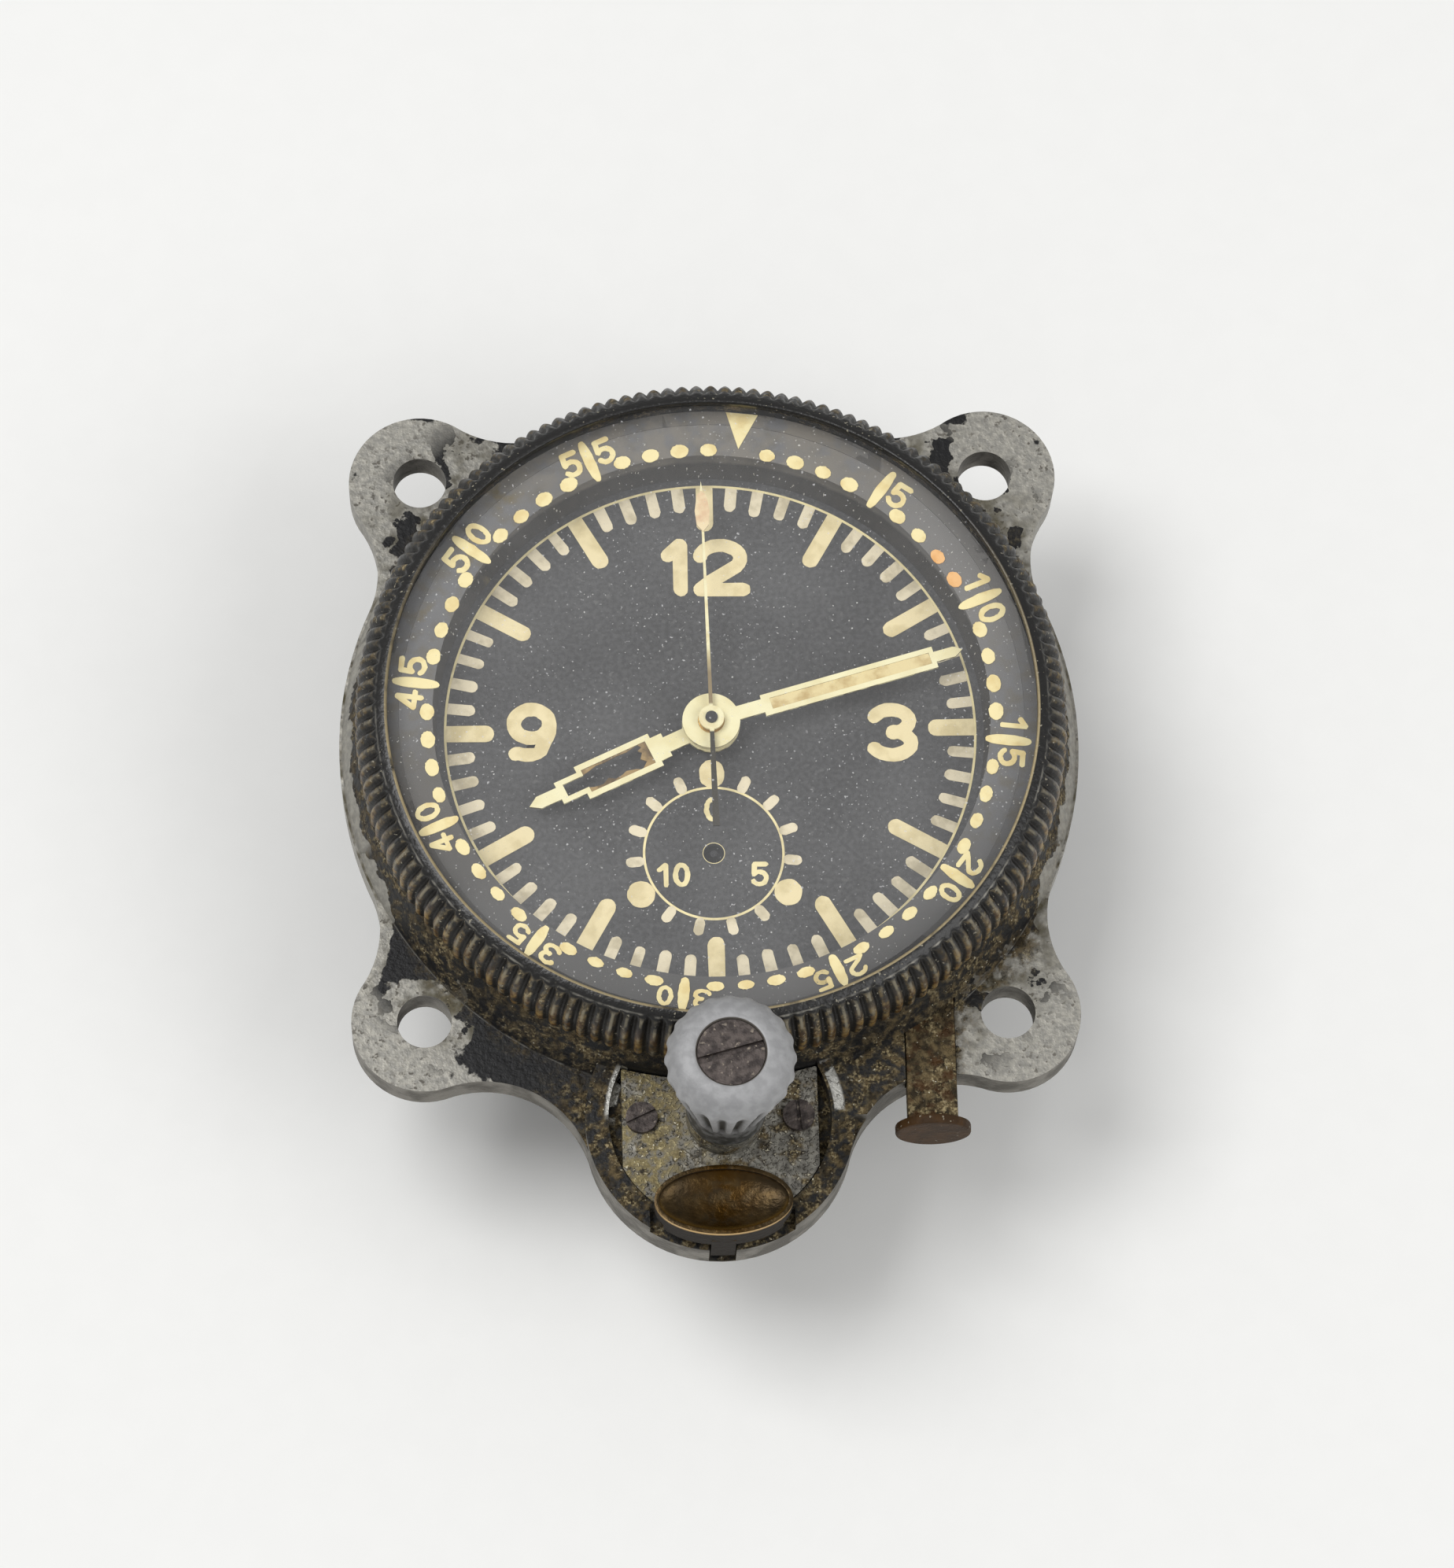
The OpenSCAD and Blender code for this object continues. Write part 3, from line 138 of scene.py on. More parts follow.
class DialSettings(bpy.types.PropertyGroup):
    """Sizes of the marks on the dial."""

    paint: FloatProperty(
        name="Paint",
        description="Thickness of the luminous paint",
        default=0.05 * MM,
        unit="LENGTH",
    )
    track_radius: FloatProperty(
        name="Track radius",
        description="Radius of the circle round the bars",
        default=22.03 * MM,
        unit="LENGTH",
    )
    line: FloatProperty(
        name="Line", description="Width of the two circles", default=0.2 * MM, unit="LENGTH"
    )
    hour_length: FloatProperty(
        name="Hour bar length",
        description="Length of an hour bar",
        default=4.95 * MM,
        unit="LENGTH",
    )
    quarter_length: FloatProperty(
        name="Quarter bar length",
        description="Length of the bars at 12, 3, 6 and 9",
        default=4.0 * MM,
        unit="LENGTH",
    )
    hour_width: FloatProperty(
        name="Hour bar width", description="Width of an hour bar", default=1.42 * MM, unit="LENGTH"
    )
    minute_length: FloatProperty(
        name="Minute bar length",
        description="Length of a minute bar",
        default=2.2 * MM,
        unit="LENGTH",
    )
    minute_width: FloatProperty(
        name="Minute bar width",
        description="Width of a minute bar",
        default=0.95 * MM,
        unit="LENGTH",
    )
    figure_height: FloatProperty(
        name="Figure height",
        description="Height of the figures 12, 3 and 9",
        default=4.9 * MM,
        unit="LENGTH",
    )
    figure_stroke: FloatProperty(
        name="Figure stroke",
        description="Width of a figure's stroke",
        default=1.2 * MM,
        unit="LENGTH",
    )
    counter_radius: FloatProperty(
        name="Counter radius",
        description="Radius of the small dial's circle",
        default=5.75 * MM,
        unit="LENGTH",
    )
    counter_hole: FloatProperty(
        name="Counter hole",
        description="Radius of the bright edge round the small dial's hole",
        default=0.87 * MM,
        unit="LENGTH",
    )
    counter_length: FloatProperty(
        name="Counter mark length",
        description="Length of a small dial's mark",
        default=1.45 * MM,
        unit="LENGTH",
    )
    counter_width: FloatProperty(
        name="Counter mark width",
        description="Width of a small dial's mark",
        default=0.85 * MM,
        unit="LENGTH",
    )
    counter_figure: FloatProperty(
        name="Counter figure height",
        description="Height of the small figures",
        default=2.1 * MM,
        unit="LENGTH",
    )


class ScaleSettings(bpy.types.PropertyGroup):
    """Sizes of the minute scale under the crystal."""

    turn: FloatProperty(
        name="Turn",
        description="Clockwise turn of the scale at rest",
        default=math.radians(6.78),
        subtype="ANGLE",
    )
    dot_ring: FloatProperty(
        name="Dot ring", description="Radius of the ring of dots", default=23.45 * MM, unit="LENGTH"
    )
    dot_radius: FloatProperty(
        name="Dot radius", description="Radius of a dot", default=0.72 * MM, unit="LENGTH"
    )
    dot_flatness: FloatProperty(
        name="Dot flatness",
        description="Height of a dot as a share of its width",
        default=0.8,
        subtype="FACTOR",
    )
    bar_inner: FloatProperty(
        name="Bar start", description="Radius where a bar starts", default=22.55 * MM, unit="LENGTH"
    )
    bar_outer: FloatProperty(
        name="Bar end", description="Radius where a bar ends", default=26.5 * MM, unit="LENGTH"
    )
    bar_width: FloatProperty(
        name="Bar width", description="Width of a bar", default=0.92 * MM, unit="LENGTH"
    )
    figure_height: FloatProperty(
        name="Figure height",
        description="Height of a scale figure",
        default=2.35 * MM,
        unit="LENGTH",
    )
    figure_stroke: FloatProperty(
        name="Figure stroke",
        description="Width of a figure's stroke",
        default=0.46 * MM,
        unit="LENGTH",
    )
    figure_ring: FloatProperty(
        name="Figure ring",
        description="Radius of the figures' middles",
        default=24.9 * MM,
        unit="LENGTH",
    )
    figure_offset: FloatProperty(
        name="Figure offset",
        description="Distance of a figure from its bar",
        default=1.5 * MM,
        unit="LENGTH",
    )
    crowding: FloatProperty(
        name="Crowding",
        description="How far the marks draw in towards the figure ring at the bottom",
        default=0.28,
        subtype="FACTOR",
    )
    pointer_width: FloatProperty(
        name="Pointer width",
        description="Base of the triangle at zero",
        default=2.7 * MM,
        unit="LENGTH",
    )
    pointer_height: FloatProperty(
        name="Pointer height",
        description="Height of the triangle at zero",
        default=3.25 * MM,
        unit="LENGTH",
    )


class BezelSettings(bpy.types.PropertyGroup):
    """Form of the fluted bezel."""

    flutes: IntProperty(name="Flutes", description="Number of flutes", default=150, min=60)
    flute_depth: FloatProperty(
        name="Flute depth", description="Depth of a flute", default=0.42 * MM, unit="LENGTH"
    )
    roundness: FloatProperty(
        name="Roundness",
        description="Power by which a rib between two flutes curves down",
        default=1.7,
        min=1.0,
    )
    wall: FloatProperty(
        name="Upright wall",
        description="Height of the wall below the rounded shoulder",
        default=2.1 * MM,
        unit="LENGTH",
    )
    band_inner: FloatProperty(
        name="Band inner radius",
        description="Radius where the grey band of the scale starts",
        default=23.0 * MM,
        unit="LENGTH",
    )
    smooth_rim: FloatProperty(
        name="Smooth rim",
        description="Width of the plain ring above the flutes",
        default=0.85 * MM,
        unit="LENGTH",
    )


class KnobSettings(bpy.types.PropertyGroup):
    """Form of the winding knob."""

    foot_radius: FloatProperty(
        name="Foot radius", description="Radius of the plain foot", default=3.3 * MM, unit="LENGTH"
    )
    foot_height: FloatProperty(
        name="Foot height", description="Height of the plain foot", default=3.0 * MM, unit="LENGTH"
    )
    shoulder: FloatProperty(
        name="Shoulder",
        description="Radius of the rounded shoulder",
        default=2.2 * MM,
        unit="LENGTH",
    )
    seat: FloatProperty(
        name="Screw seat",
        description="Depth of the seat of the screw",
        default=1.3 * MM,
        unit="LENGTH",
    )
    flutes: IntProperty(name="Flutes", description="Number of flutes", default=20, min=8)
    flute_depth: FloatProperty(
        name="Flute depth", description="Depth of a flute", default=0.38 * MM, unit="LENGTH"
    )
    flute_share: FloatProperty(
        name="Flute share",
        description="Share of the pitch that a flute takes",
        default=0.72,
        subtype="FACTOR",
    )


class FinishSettings(bpy.types.PropertyGroup):
    """Colours of the clock's finishes."""

    black_paint: FloatVectorProperty(
        name="Black paint",
        description="Stove enamel on the case",
        default=linear("1b1b1c"),
        size=4,
        subtype="COLOR",
    )
    bezel_paint: FloatVectorProperty(
        name="Bezel paint",
        description="Enamel on the bezel",
        default=linear("191817"),
        size=4,
        subtype="COLOR",
    )
    bare_alloy: FloatVectorProperty(
        name="Bare alloy",
        description="Cast light alloy under the paint",
        default=linear("a8a59c"),
        size=4,
        subtype="COLOR",
    )
    grime: FloatVectorProperty(
        name="Grime",
        description="Dried oil and dust",
        default=linear("332c20"),
        size=4,
        subtype="COLOR",
    )
    dust: FloatVectorProperty(
        name="Dust",
        description="Pale grit in the grime",
        default=linear("cfc8b2"),
        size=4,
        subtype="COLOR",
    )
    dial_paint: FloatVectorProperty(
        name="Dial paint",
        description="Matt black of the dial",
        default=linear("3a3a3b"),
        size=4,
        subtype="COLOR",
    )
    lume: FloatVectorProperty(
        name="Luminous paint",
        description="Aged luminous paint of the dial",
        default=linear("f8e7b5"),
        size=4,
        subtype="COLOR",
    )
    scale_paint: FloatVectorProperty(
        name="Scale paint",
        description="Aged paint of the bezel scale",
        default=linear("ffefb5"),
        size=4,
        subtype="COLOR",
    )
    hand_paint: FloatVectorProperty(
        name="Hand paint",
        description="Cream paint of the hands",
        default=linear("fbf3c4"),
        size=4,
        subtype="COLOR",
    )
    brass: FloatVectorProperty(
        name="Brass",
        description="Bare brass of the movement",
        default=linear("d9b56a"),
        size=4,
        subtype="COLOR",
    )
    steel: FloatVectorProperty(
        name="Steel",
        description="Polished steel of the movement",
        default=linear("c3c4c6"),
        size=4,
        subtype="COLOR",
    )


class StageSettings(bpy.types.PropertyGroup):
    """The floor, the lamps and the camera."""

    floor_size: FloatProperty(
        name="Floor size", description="Side of the floor", default=6.0, unit="LENGTH"
    )
    floor_colour: FloatVectorProperty(
        name="Floor colour",
        description="Pale matt floor",
        default=linear("f5f5f3"),
        size=4,
        subtype="COLOR",
    )
    sky: FloatProperty(
        name="Sky",
        description="Strength of the even light from all round",
        default=0.42,
    )
    key_power: FloatProperty(
        name="Key power",
        description="Power of the main lamp",
        default=3.9,
        unit="POWER",
    )
    fill_power: FloatProperty(
        name="Fill power",
        description="Power of the second lamp",
        default=1.9,
        unit="POWER",
    )
    lens: FloatProperty(
        name="Lens",
        description="Focal length on the camera's frame",
        default=SENSOR_HEIGHT * FOCAL_PIXELS / FRAME_PIXELS,
        unit="CAMERA",
    )
    eye: FloatVectorProperty(
        name="Eye",
        description="Place of the camera",
        default=(-0.0164, -0.17483, 0.46511),
        size=3,
        unit="LENGTH",
    )
    right: FloatVectorProperty(
        name="Right",
        description="Direction of the picture's right",
        default=(0.99924378, -0.02624707, 0.02868741),
        size=3,
        subtype="DIRECTION",
    )
    up: FloatVectorProperty(
        name="Up",
        description="Direction of the picture's top",
        default=(0.01463566, 0.93742206, 0.34788744),
        size=3,
        subtype="DIRECTION",
    )


def put(tree, kind, inputs=None, **settings):
    """Add a node with its settings; inputs are values or the sockets to link from."""
    node = tree.nodes.new(kind)
    for name, value in settings.items():
        setattr(node, name, value)
    for key, value in (inputs or {}).items():
        if isinstance(value, bpy.types.NodeSocket):
            tree.links.new(value, node.inputs[key])
        else:
            node.inputs[key].default_value = value
    return node


def start_finish(name):
    """New material with an empty shader; returns it with its tree, shader and object-space place."""
    material = bpy.data.materials.new(name)
    material.use_nodes = True
    tree = material.node_tree
    tree.nodes.clear()
    shader = put(tree, "ShaderNodeBsdfPrincipled")
    put(tree, "ShaderNodeOutputMaterial", {"Surface": shader.outputs[0]})
    place = put(tree, "ShaderNodeTexCoord").outputs["Object"]
    return material, tree, shader, place


def blotches(tree, place, size_mm, low, high, detail=5.0):
    """Mask of soft-edged patches: 0 below the low level of a cloud of this size, 1 above the high one."""
    inputs = {"Vector": place, "Scale": pattern_scale(size_mm), "Detail": detail}
    cloud = put(tree, "ShaderNodeTexNoise", inputs).outputs[0]
    levels = {0: cloud, 1: low, 2: high}
    return put(tree, "ShaderNodeMapRange", levels, interpolation_type="SMOOTHSTEP").outputs[0]


def crumbs(tree, place, size_mm, low, high):
    """Mask of small crisp crumbs: the peaks of a cloud with little fine detail.

    Real grit and dust are finer, and are drawn this coarse so that they show.
    """
    return blotches(tree, place, size_mm, low, high, 1.5)


def both(tree, *masks):
    """Product of several masks."""
    result = masks[0]
    for mask in masks[1:]:
        result = put(tree, "ShaderNodeMath", {0: result, 1: mask}, operation="MULTIPLY").outputs[0]
    return result


def either(tree, *masks):
    """Largest of several masks."""
    result = masks[0]
    for mask in masks[1:]:
        result = put(tree, "ShaderNodeMath", {0: result, 1: mask}, operation="MAXIMUM").outputs[0]
    return result


def region(tree, *ramps):
    """Mask of a region. Each ramp is a length and the two places, in mm, where the mask is 0 and 1."""
    masks = [
        put(tree, "ShaderNodeMapRange", {0: length, 1: zero * MM, 2: one * MM}).outputs[0]
        for length, zero, one in ramps
    ]
    return both(tree, *masks)


def layered(tree, colour, *layers):
    """Colour with others laid over it, each as far as its mask goes."""
    for mask, over in layers:
        colour = put(tree, "ShaderNodeMix", {0: mask, 6: colour, 7: over}, data_type="RGBA").outputs[2]
    return colour


def lay(tree, shader, base, *layers):
    """Lay finishes over a base. Each is (colour, roughness, metallic); a layer has its mask before them."""
    for number, socket in enumerate(("Base Color", "Roughness", "Metallic")):
        value = base[number]
        for mask, *finish in layers:
            over = finish[number]
            if not isinstance(value, bpy.types.NodeSocket) and value == over:
                continue
            if number == 0:
                value = layered(tree, value, (mask, over))
            else:
                value = put(tree, "ShaderNodeMix", {0: mask, 2: value, 3: over}).outputs[0]
        if isinstance(value, bpy.types.NodeSocket):
            tree.links.new(value, shader.inputs[socket])
        else:
            shader.inputs[socket].default_value = value


def emboss(tree, shader, *reliefs):
    """Bump from several reliefs, each a mask and its height in mm."""
    normal = None
    for mask, height_mm in reliefs:
        inputs = {"Height": mask, "Distance": abs(height_mm) * MM}
        if normal is not None:
            inputs["Normal"] = normal
        normal = put(tree, "ShaderNodeBump", inputs, invert=height_mm < 0).outputs[0]
    tree.links.new(normal, shader.inputs["Normal"])


def outward(tree, place, axis=(0.0, 0.0)):
    """Distance from an upright axis."""
    away = {0: place, 1: (-axis[0], -axis[1], 0.0)}
    away = put(tree, "ShaderNodeVectorMath", away, operation="ADD").outputs[0]
    flat = put(tree, "ShaderNodeVectorMath", {0: away, 1: (1.0, 1.0, 0.0)}, operation="MULTIPLY").outputs[0]
    return put(tree, "ShaderNodeVectorMath", {0: flat}, operation="LENGTH").outputs["Value"]


def ragged(tree, place, length, size_mm, swing_mm):
    """A length with a wandering error, for edges of flaked paint."""
    inputs = {"Vector": place, "Scale": pattern_scale(size_mm), "Detail": 6.0}
    cloud = put(tree, "ShaderNodeTexNoise", inputs).outputs[0]
    levels = {0: cloud, 1: 0.25, 2: 0.75, 3: -swing_mm * MM, 4: swing_mm * MM}
    error = put(tree, "ShaderNodeMapRange", levels).outputs[0]
    return put(tree, "ShaderNodeMath", {0: length, 1: error}).outputs[0]


def facing_up(tree, zero, one):
    """Mask of how far a surface faces up: 0 and 1 where its normal rises by these shares."""
    normal = put(tree, "ShaderNodeTexCoord").outputs["Normal"]
    rise = put(tree, "ShaderNodeSeparateXYZ", {0: normal}).outputs["Z"]
    return put(tree, "ShaderNodeMapRange", {0: rise, 1: zero, 2: one}).outputs[0]


def caked_dirt(tree, place, colours):
    """Colour of dried oil with dust in it: near black and brown, with swarms of ochre crumbs."""
    brown = blotches(tree, place, 0.7, 0.38, 0.64)
    swarm = both(tree, crumbs(tree, place, 0.26, 0.46, 0.68), blotches(tree, place, 2.4, 0.4, 0.62))
    chips = crumbs(tree, place, 0.3, 0.7, 0.74)
    return layered(
        tree, colours.grime, (brown, linear("67593f")), (swarm, linear("a29370")), (chips, colours.dust)
    )


def hollow_centre():
    """Centre of the hollow between the flange's round and a lug, on the side of the x axis."""
    far = math.hypot(HOLE_REACH, HOLE_REACH)
    round_reach, lug_reach = FLANGE_R + HOLLOW_R, LUG_R + HOLLOW_R
    turn = math.acos((far**2 + round_reach**2 - lug_reach**2) / (2 * far * round_reach))
    angle = math.pi / 4 - turn
    return round_reach * math.cos(angle), round_reach * math.sin(angle)


def rubbed_band(tree, place, folded, round_r):
    """Mask of the band that handling has rubbed bare along the flange's edge."""
    aside = put(tree, "ShaderNodeSeparateXYZ", {0: folded}).outputs["Y"]
    round_mm, hollow_mm = FLANGE_R / MM, HOLLOW_R / MM
    uneven_r = ragged(tree, place, round_r, 1.4, 0.4)
    past_round = region(tree, (uneven_r, round_mm - 1.0, round_mm - 0.95), (aside, 10.0, 9.0))
    hollow_r = ragged(tree, place, outward(tree, folded, hollow_centre()), 1.4, 0.4)
    past_hollow = region(tree, (hollow_r, hollow_mm + 1.0, hollow_mm + 0.95))
    return either(tree, past_round, past_hollow)


def dirty_places(tree, place, folded, round_r):
    """Mask of where dirt has settled: round the bezel's foot, in the lobe and along the setting bar."""
    spot = put(tree, "ShaderNodeSeparateXYZ", {0: place}).outputs
    aside = put(tree, "ShaderNodeSeparateXYZ", {0: folded}).outputs["X"]
    lobe = region(tree, (spot["Y"], -27.5, -31.0), (ragged(tree, place, aside, 3.0, 2.0), 15.5, 12.0))
    bar_side = ragged(tree, place, spot["X"], 2.0, 1.2)
    bar = region(tree, (spot["X"], 9.0, 12.0), (bar_side, 21.0, 19.0), (spot["Y"], -19.0, -22.5))
    # Dirt lies wider on the right than on the left
    levels = {0: spot["X"], 1: -4.0 * MM, 2: -14.0 * MM, 4: 1.7 * MM}
    leftward = put(tree, "ShaderNodeMapRange", levels).outputs[0]
    uneven_r = ragged(tree, place, round_r, 3.0, 1.0)
    foot_r = put(tree, "ShaderNodeMath", {0: uneven_r, 1: leftward}).outputs[0]
    foot = region(tree, (foot_r, 33.6, 30.6), (spot["Y"], 26.0, 4.0))
    return either(tree, foot, lobe, bar)


def flaked_enamel(colours):
    """Cast light alloy under stove enamel: satin black, flaked to mottled grey metal at lugs and edges, with
    painted shade on the bare walls and a painted highlight on the bevel.
    """
    material, tree, shader, place = start_finish("cast_alloy_flaked_enamel")
    spot = put(tree, "ShaderNodeSeparateXYZ", {0: place}).outputs
    up = facing_up(tree, 0.8, 0.96)
    steep = put(tree, "ShaderNodeMath", {0: 1.0, 1: up}, operation="SUBTRACT").outputs[0]
    round_r = outward(tree, place)
    folded = put(tree, "ShaderNodeVectorMath", {0: place}, operation="ABSOLUTE").outputs[0]
    lug_r = outward(tree, folded, (HOLE_REACH, HOLE_REACH))
    lug = region(tree, (ragged(tree, place, lug_r, 4.0, 2.6), 7.4, 7.2))
    # The lower left lug has kept its paint up to its hole, the others are bare up to the bezel
    lower_left = region(tree, (spot["X"], -8.0, -14.0), (spot["Y"], -8.0, -14.0))
    inner_edge = put(tree, "ShaderNodeMapRange", {0: lower_left, 3: 30.3 * MM, 4: 34.2 * MM}).outputs[0]
    uneven_r = ragged(tree, place, round_r, 3.0, 1.3)
    beyond = put(tree, "ShaderNodeMath", {0: uneven_r, 1: inner_edge}, operation="SUBTRACT").outputs[0]
    washer = region(tree, (ragged(tree, place, lug_r, 1.6, 0.6), 3.9, 3.8))
    outside = either(tree, region(tree, (beyond, 0.0, 0.15)), washer)
    islands = both(tree, blotches(tree, place, 2.4, 0.57, 0.585), region(tree, (round_r, 37.5, 34.5)))
    kept = put(tree, "ShaderNodeMath", {0: 1.0, 1: islands}, operation="SUBTRACT").outputs[0]
    edge = both(tree, steep, region(tree, (round_r, 30.75, 30.85)))
    band = rubbed_band(tree, place, folded, round_r)
    off_band = put(tree, "ShaderNodeMapRange", {0: band, 3: 1.0, 4: 0.15}).outputs[0]
    bare = either(tree, both(tree, lug, outside, kept), edge, band)
    metal = layered(tree, linear("8f8d87"), (blotches(tree, place, 0.6, 0.34, 0.66), colours.bare_alloy))
    # Bare upright walls are drawn darker than the bare tops: painted shade
    wiped = layered(tree, linear("57534b"), (blotches(tree, place, 2.2, 0.38, 0.62), linear("807c74")))
    # The bevel is worn bare and drawn lighter than the other bare metal: painted highlight
    bevel = both(tree, facing_up(tree, 0.35, 0.5), steep, region(tree, (round_r, 30.6, 30.75)))
    bevel = both(tree, bevel, blotches(tree, place, 2.0, 0.36, 0.5))
    pits = both(tree, crumbs(tree, place, 0.4, 0.58, 0.68), blotches(tree, place, 3.0, 0.38, 0.6))
    recess_r = outward(tree, place, KNOB_AXIS)
    recess_rim = region(
        tree,
        (recess_r, 8.9, 9.0),
        (recess_r, 9.9, 9.7),
        (spot["Y"], -33.2, -32.4),
        (spot["Y"], -26.6, -27.0),
        (spot["Z"], 5.0, 4.6),
    )
    recess_rim = both(tree, recess_rim, blotches(tree, place, 1.6, 0.42, 0.5))
    stain = both(tree, blotches(tree, place, 1.8, 0.42, 0.68), region(tree, (round_r, 36.5, 31.0)))
    neck = region(tree, (round_r, 27.4, 27.2), (spot["Z"], 6.5, 7.0))
    near = both(tree, dirty_places(tree, place, folded, round_r), off_band, facing_up(tree, 0.2, 0.5))
    dirt = both(tree, near, blotches(tree, place, 0.9, 0.4, 0.6))
    film = both(tree, near, blotches(tree, place, 2.6, 0.35, 0.75), blotches(tree, place, 0.35, 0.4, 0.75))
    lay(
        tree,
        shader,
        (colours.black_paint, 0.42, 0.0),
        (bare, metal, 0.48, 0.5),
        (both(tree, bare, pits, up), linear("65615a"), 0.7, 0.2),
        (both(tree, bare, steep, off_band), wiped, 0.5, 0.5),
        (bevel, linear("c2bfb8"), 0.4, 0.6),
        (both(tree, bare, stain, up), linear("56513f"), 0.75, 0.1),
        (film, linear("5d5440"), 0.9, 0.0),
        (dirt, caked_dirt(tree, place, colours), 0.9, 0.0),
        (recess_rim, linear("b9b8b2"), 0.4, 0.7),
        (neck, linear("676562"), 0.8, 0.0),
    )
    # The enamel has chalked and lost most of its gloss
    shader.inputs["Specular IOR Level"].default_value = 0.25
    grit = both(tree, dirt, crumbs(tree, place, 0.36, 0.5, 0.66))
    emboss(tree, shader, (bare, -0.06), (blotches(tree, place, 0.4, 0.3, 0.7), 0.03), (grit, 0.12))
    return material


def enamelled_can(colours):
    """Spun alloy can under the same enamel: even satin black, rubbed to grey along its back edge."""
    material, tree, shader, place = start_finish("spun_alloy_black_enamel")
    height = put(tree, "ShaderNodeSeparateXYZ", {0: place}).outputs["Z"]
    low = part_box("rear_case")[0].z / MM
    rim = region(tree, (ragged(tree, place, height, 3.0, 0.5), low + 0.9, low + 0.5))
    lay(
        tree,
        shader,
        (colours.black_paint, 0.45, 0.0),
        (blotches(tree, place, 5.0, 0.4, 0.7), linear("232324"), 0.45, 0.0),
        (both(tree, rim, blotches(tree, place, 1.6, 0.42, 0.55)), colours.bare_alloy, 0.45, 0.8),
    )
    emboss(tree, shader, (blotches(tree, place, 0.6, 0.3, 0.7), 0.015))
    return material


def rubbed_enamel(colours, edge_mm):
    """Turned brass under black enamel: satin black with painted shade in the flutes, worn brown low on the
    ribs, rubbed lighter on the ribs and bright at its edges, with painted highlights there.
    """
    material, tree, shader, place = start_finish("turned_brass_rubbed_enamel")
    groove = put(tree, "ShaderNodeAttribute", attribute_name="groove").outputs["Fac"]
    shaded = put(tree, "ShaderNodeMapRange", {0: groove, 1: 0.18, 2: 0.45}).outputs[0]
    ridge = put(tree, "ShaderNodeMapRange", {0: groove, 1: 0.12, 2: 0.02}).outputs[0]
    spot = put(tree, "ShaderNodeSeparateXYZ", {0: place}).outputs
    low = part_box("bezel_ring")[0].z / MM
    front = region(tree, (spot["Y"], 10.0, -12.0))
    flutes = region(tree, (spot["Z"], edge_mm - 0.1, edge_mm - 0.3))
    worn = both(tree, blotches(tree, place, 2.2, 0.28, 0.5), blotches(tree, place, 1.0, 0.34, 0.6))
    browned = both(tree, region(tree, (spot["Z"], low + 4.4, low + 2.2)), front, worn)
    golden = layered(tree, linear("644722"), (blotches(tree, place, 0.7, 0.38, 0.64), linear("a3864f")))
    # Ribs rubbed lighter at the front: wear, with a painted highlight along their crests
    rubbed = both(tree, ridge, flutes, front, blotches(tree, place, 1.4, 0.4, 0.6))
    gritty = both(tree, flutes, blotches(tree, place, 0.8, 0.42, 0.6), blotches(tree, place, 5.0, 0.3, 0.52))
    # Light line where the flutes end: a worn edge with a painted highlight along it
    line = region(
        tree, (spot["Z"], edge_mm - 0.02, edge_mm + 0.03), (spot["Z"], edge_mm + 0.11, edge_mm + 0.06)
    )
    line = both(tree, line, front, blotches(tree, place, 1.6, 0.4, 0.6))
    lip = region(
        tree,
        (outward(tree, place), 26.95, 26.89),
        (spot["Z"], low + 5.2, low + 5.3),
        (spot["Y"], 16.0, -4.0),
    )
    lip = both(tree, lip, blotches(tree, place, 3.0, 0.26, 0.46))
    chips = both(tree, crumbs(tree, place, 0.3, 0.68, 0.71), blotches(tree, place, 4.0, 0.42, 0.6))
    lay(
        tree,
        shader,
        (colours.bezel_paint, 0.3, 0.0),
        (shaded, linear("0a0908"), 0.3, 0.0),
        (gritty, caked_dirt(tree, place, colours), 0.85, 0.0),
        (rubbed, linear("857e6c"), 0.4, 0.4),
        (browned, golden, 0.45, 0.4),
        (both(tree, shaded, flutes), linear("120f0a"), 0.5, 0.1),
        (line, linear("85827a"), 0.4, 0.5),
        (lip, linear("a39472"), 0.5, 0.4),
        (chips, linear("96907f"), 0.8, 0.0),
    )
    emboss(tree, shader, (blotches(tree, place, 0.4, 0.3, 0.7), 0.02))
    return material


def scuffed_acrylic():
    """Cast acrylic: clear, with a thin grey haze and dust on its upper face."""
    material, tree, shader, place = start_finish("cast_acrylic_scuffed")
    dust = both(tree, crumbs(tree, place, 0.34, 0.7, 0.74), blotches(tree, place, 6.0, 0.35, 0.6))
    cloud = blotches(tree, place, 9.0, 0.3, 0.75)
    haze = put(tree, "ShaderNodeMapRange", {0: cloud, 3: 0.045, 4: 0.07}).outputs[0]
    dusty = put(tree, "ShaderNodeMath", {0: dust, 1: 0.5}, operation="MULTIPLY").outputs[0]
    amount = put(tree, "ShaderNodeMath", {0: haze, 1: dusty}).outputs[0]
    tree.links.new(both(tree, amount, facing_up(tree, 0.4, 0.6)), shader.inputs["Alpha"])
    shader.inputs["Base Color"].default_value = linear("e4e4e4")
    shader.inputs["Roughness"].default_value = 0.2
    shader.inputs["IOR"].default_value = 1.49
    return material


def dial_black(colours):
    """Matt cellulose paint on a brass dial: black gone grey, with a fine grain and pale flecks of dust."""
    material, tree, shader, place = start_finish("brass_dial_matt_black")
    grain = blotches(tree, place, 0.4, 0.36, 0.66)
    dusty = both(tree, crumbs(tree, place, 0.5, 0.6, 0.7), blotches(tree, place, 5.0, 0.45, 0.65))
    lay(
        tree,
        shader,
        (colours.dial_paint, 0.8, 0.0),
        (grain, linear("4b4b4c"), 0.8, 0.0),
        (dusty, linear("5f5f5e"), 0.9, 0.0),
        (crumbs(tree, place, 0.26, 0.715, 0.75), linear("d2d1cd"), 0.9, 0.0),
    )
    emboss(tree, shader, (grain, 0.01))
    return material


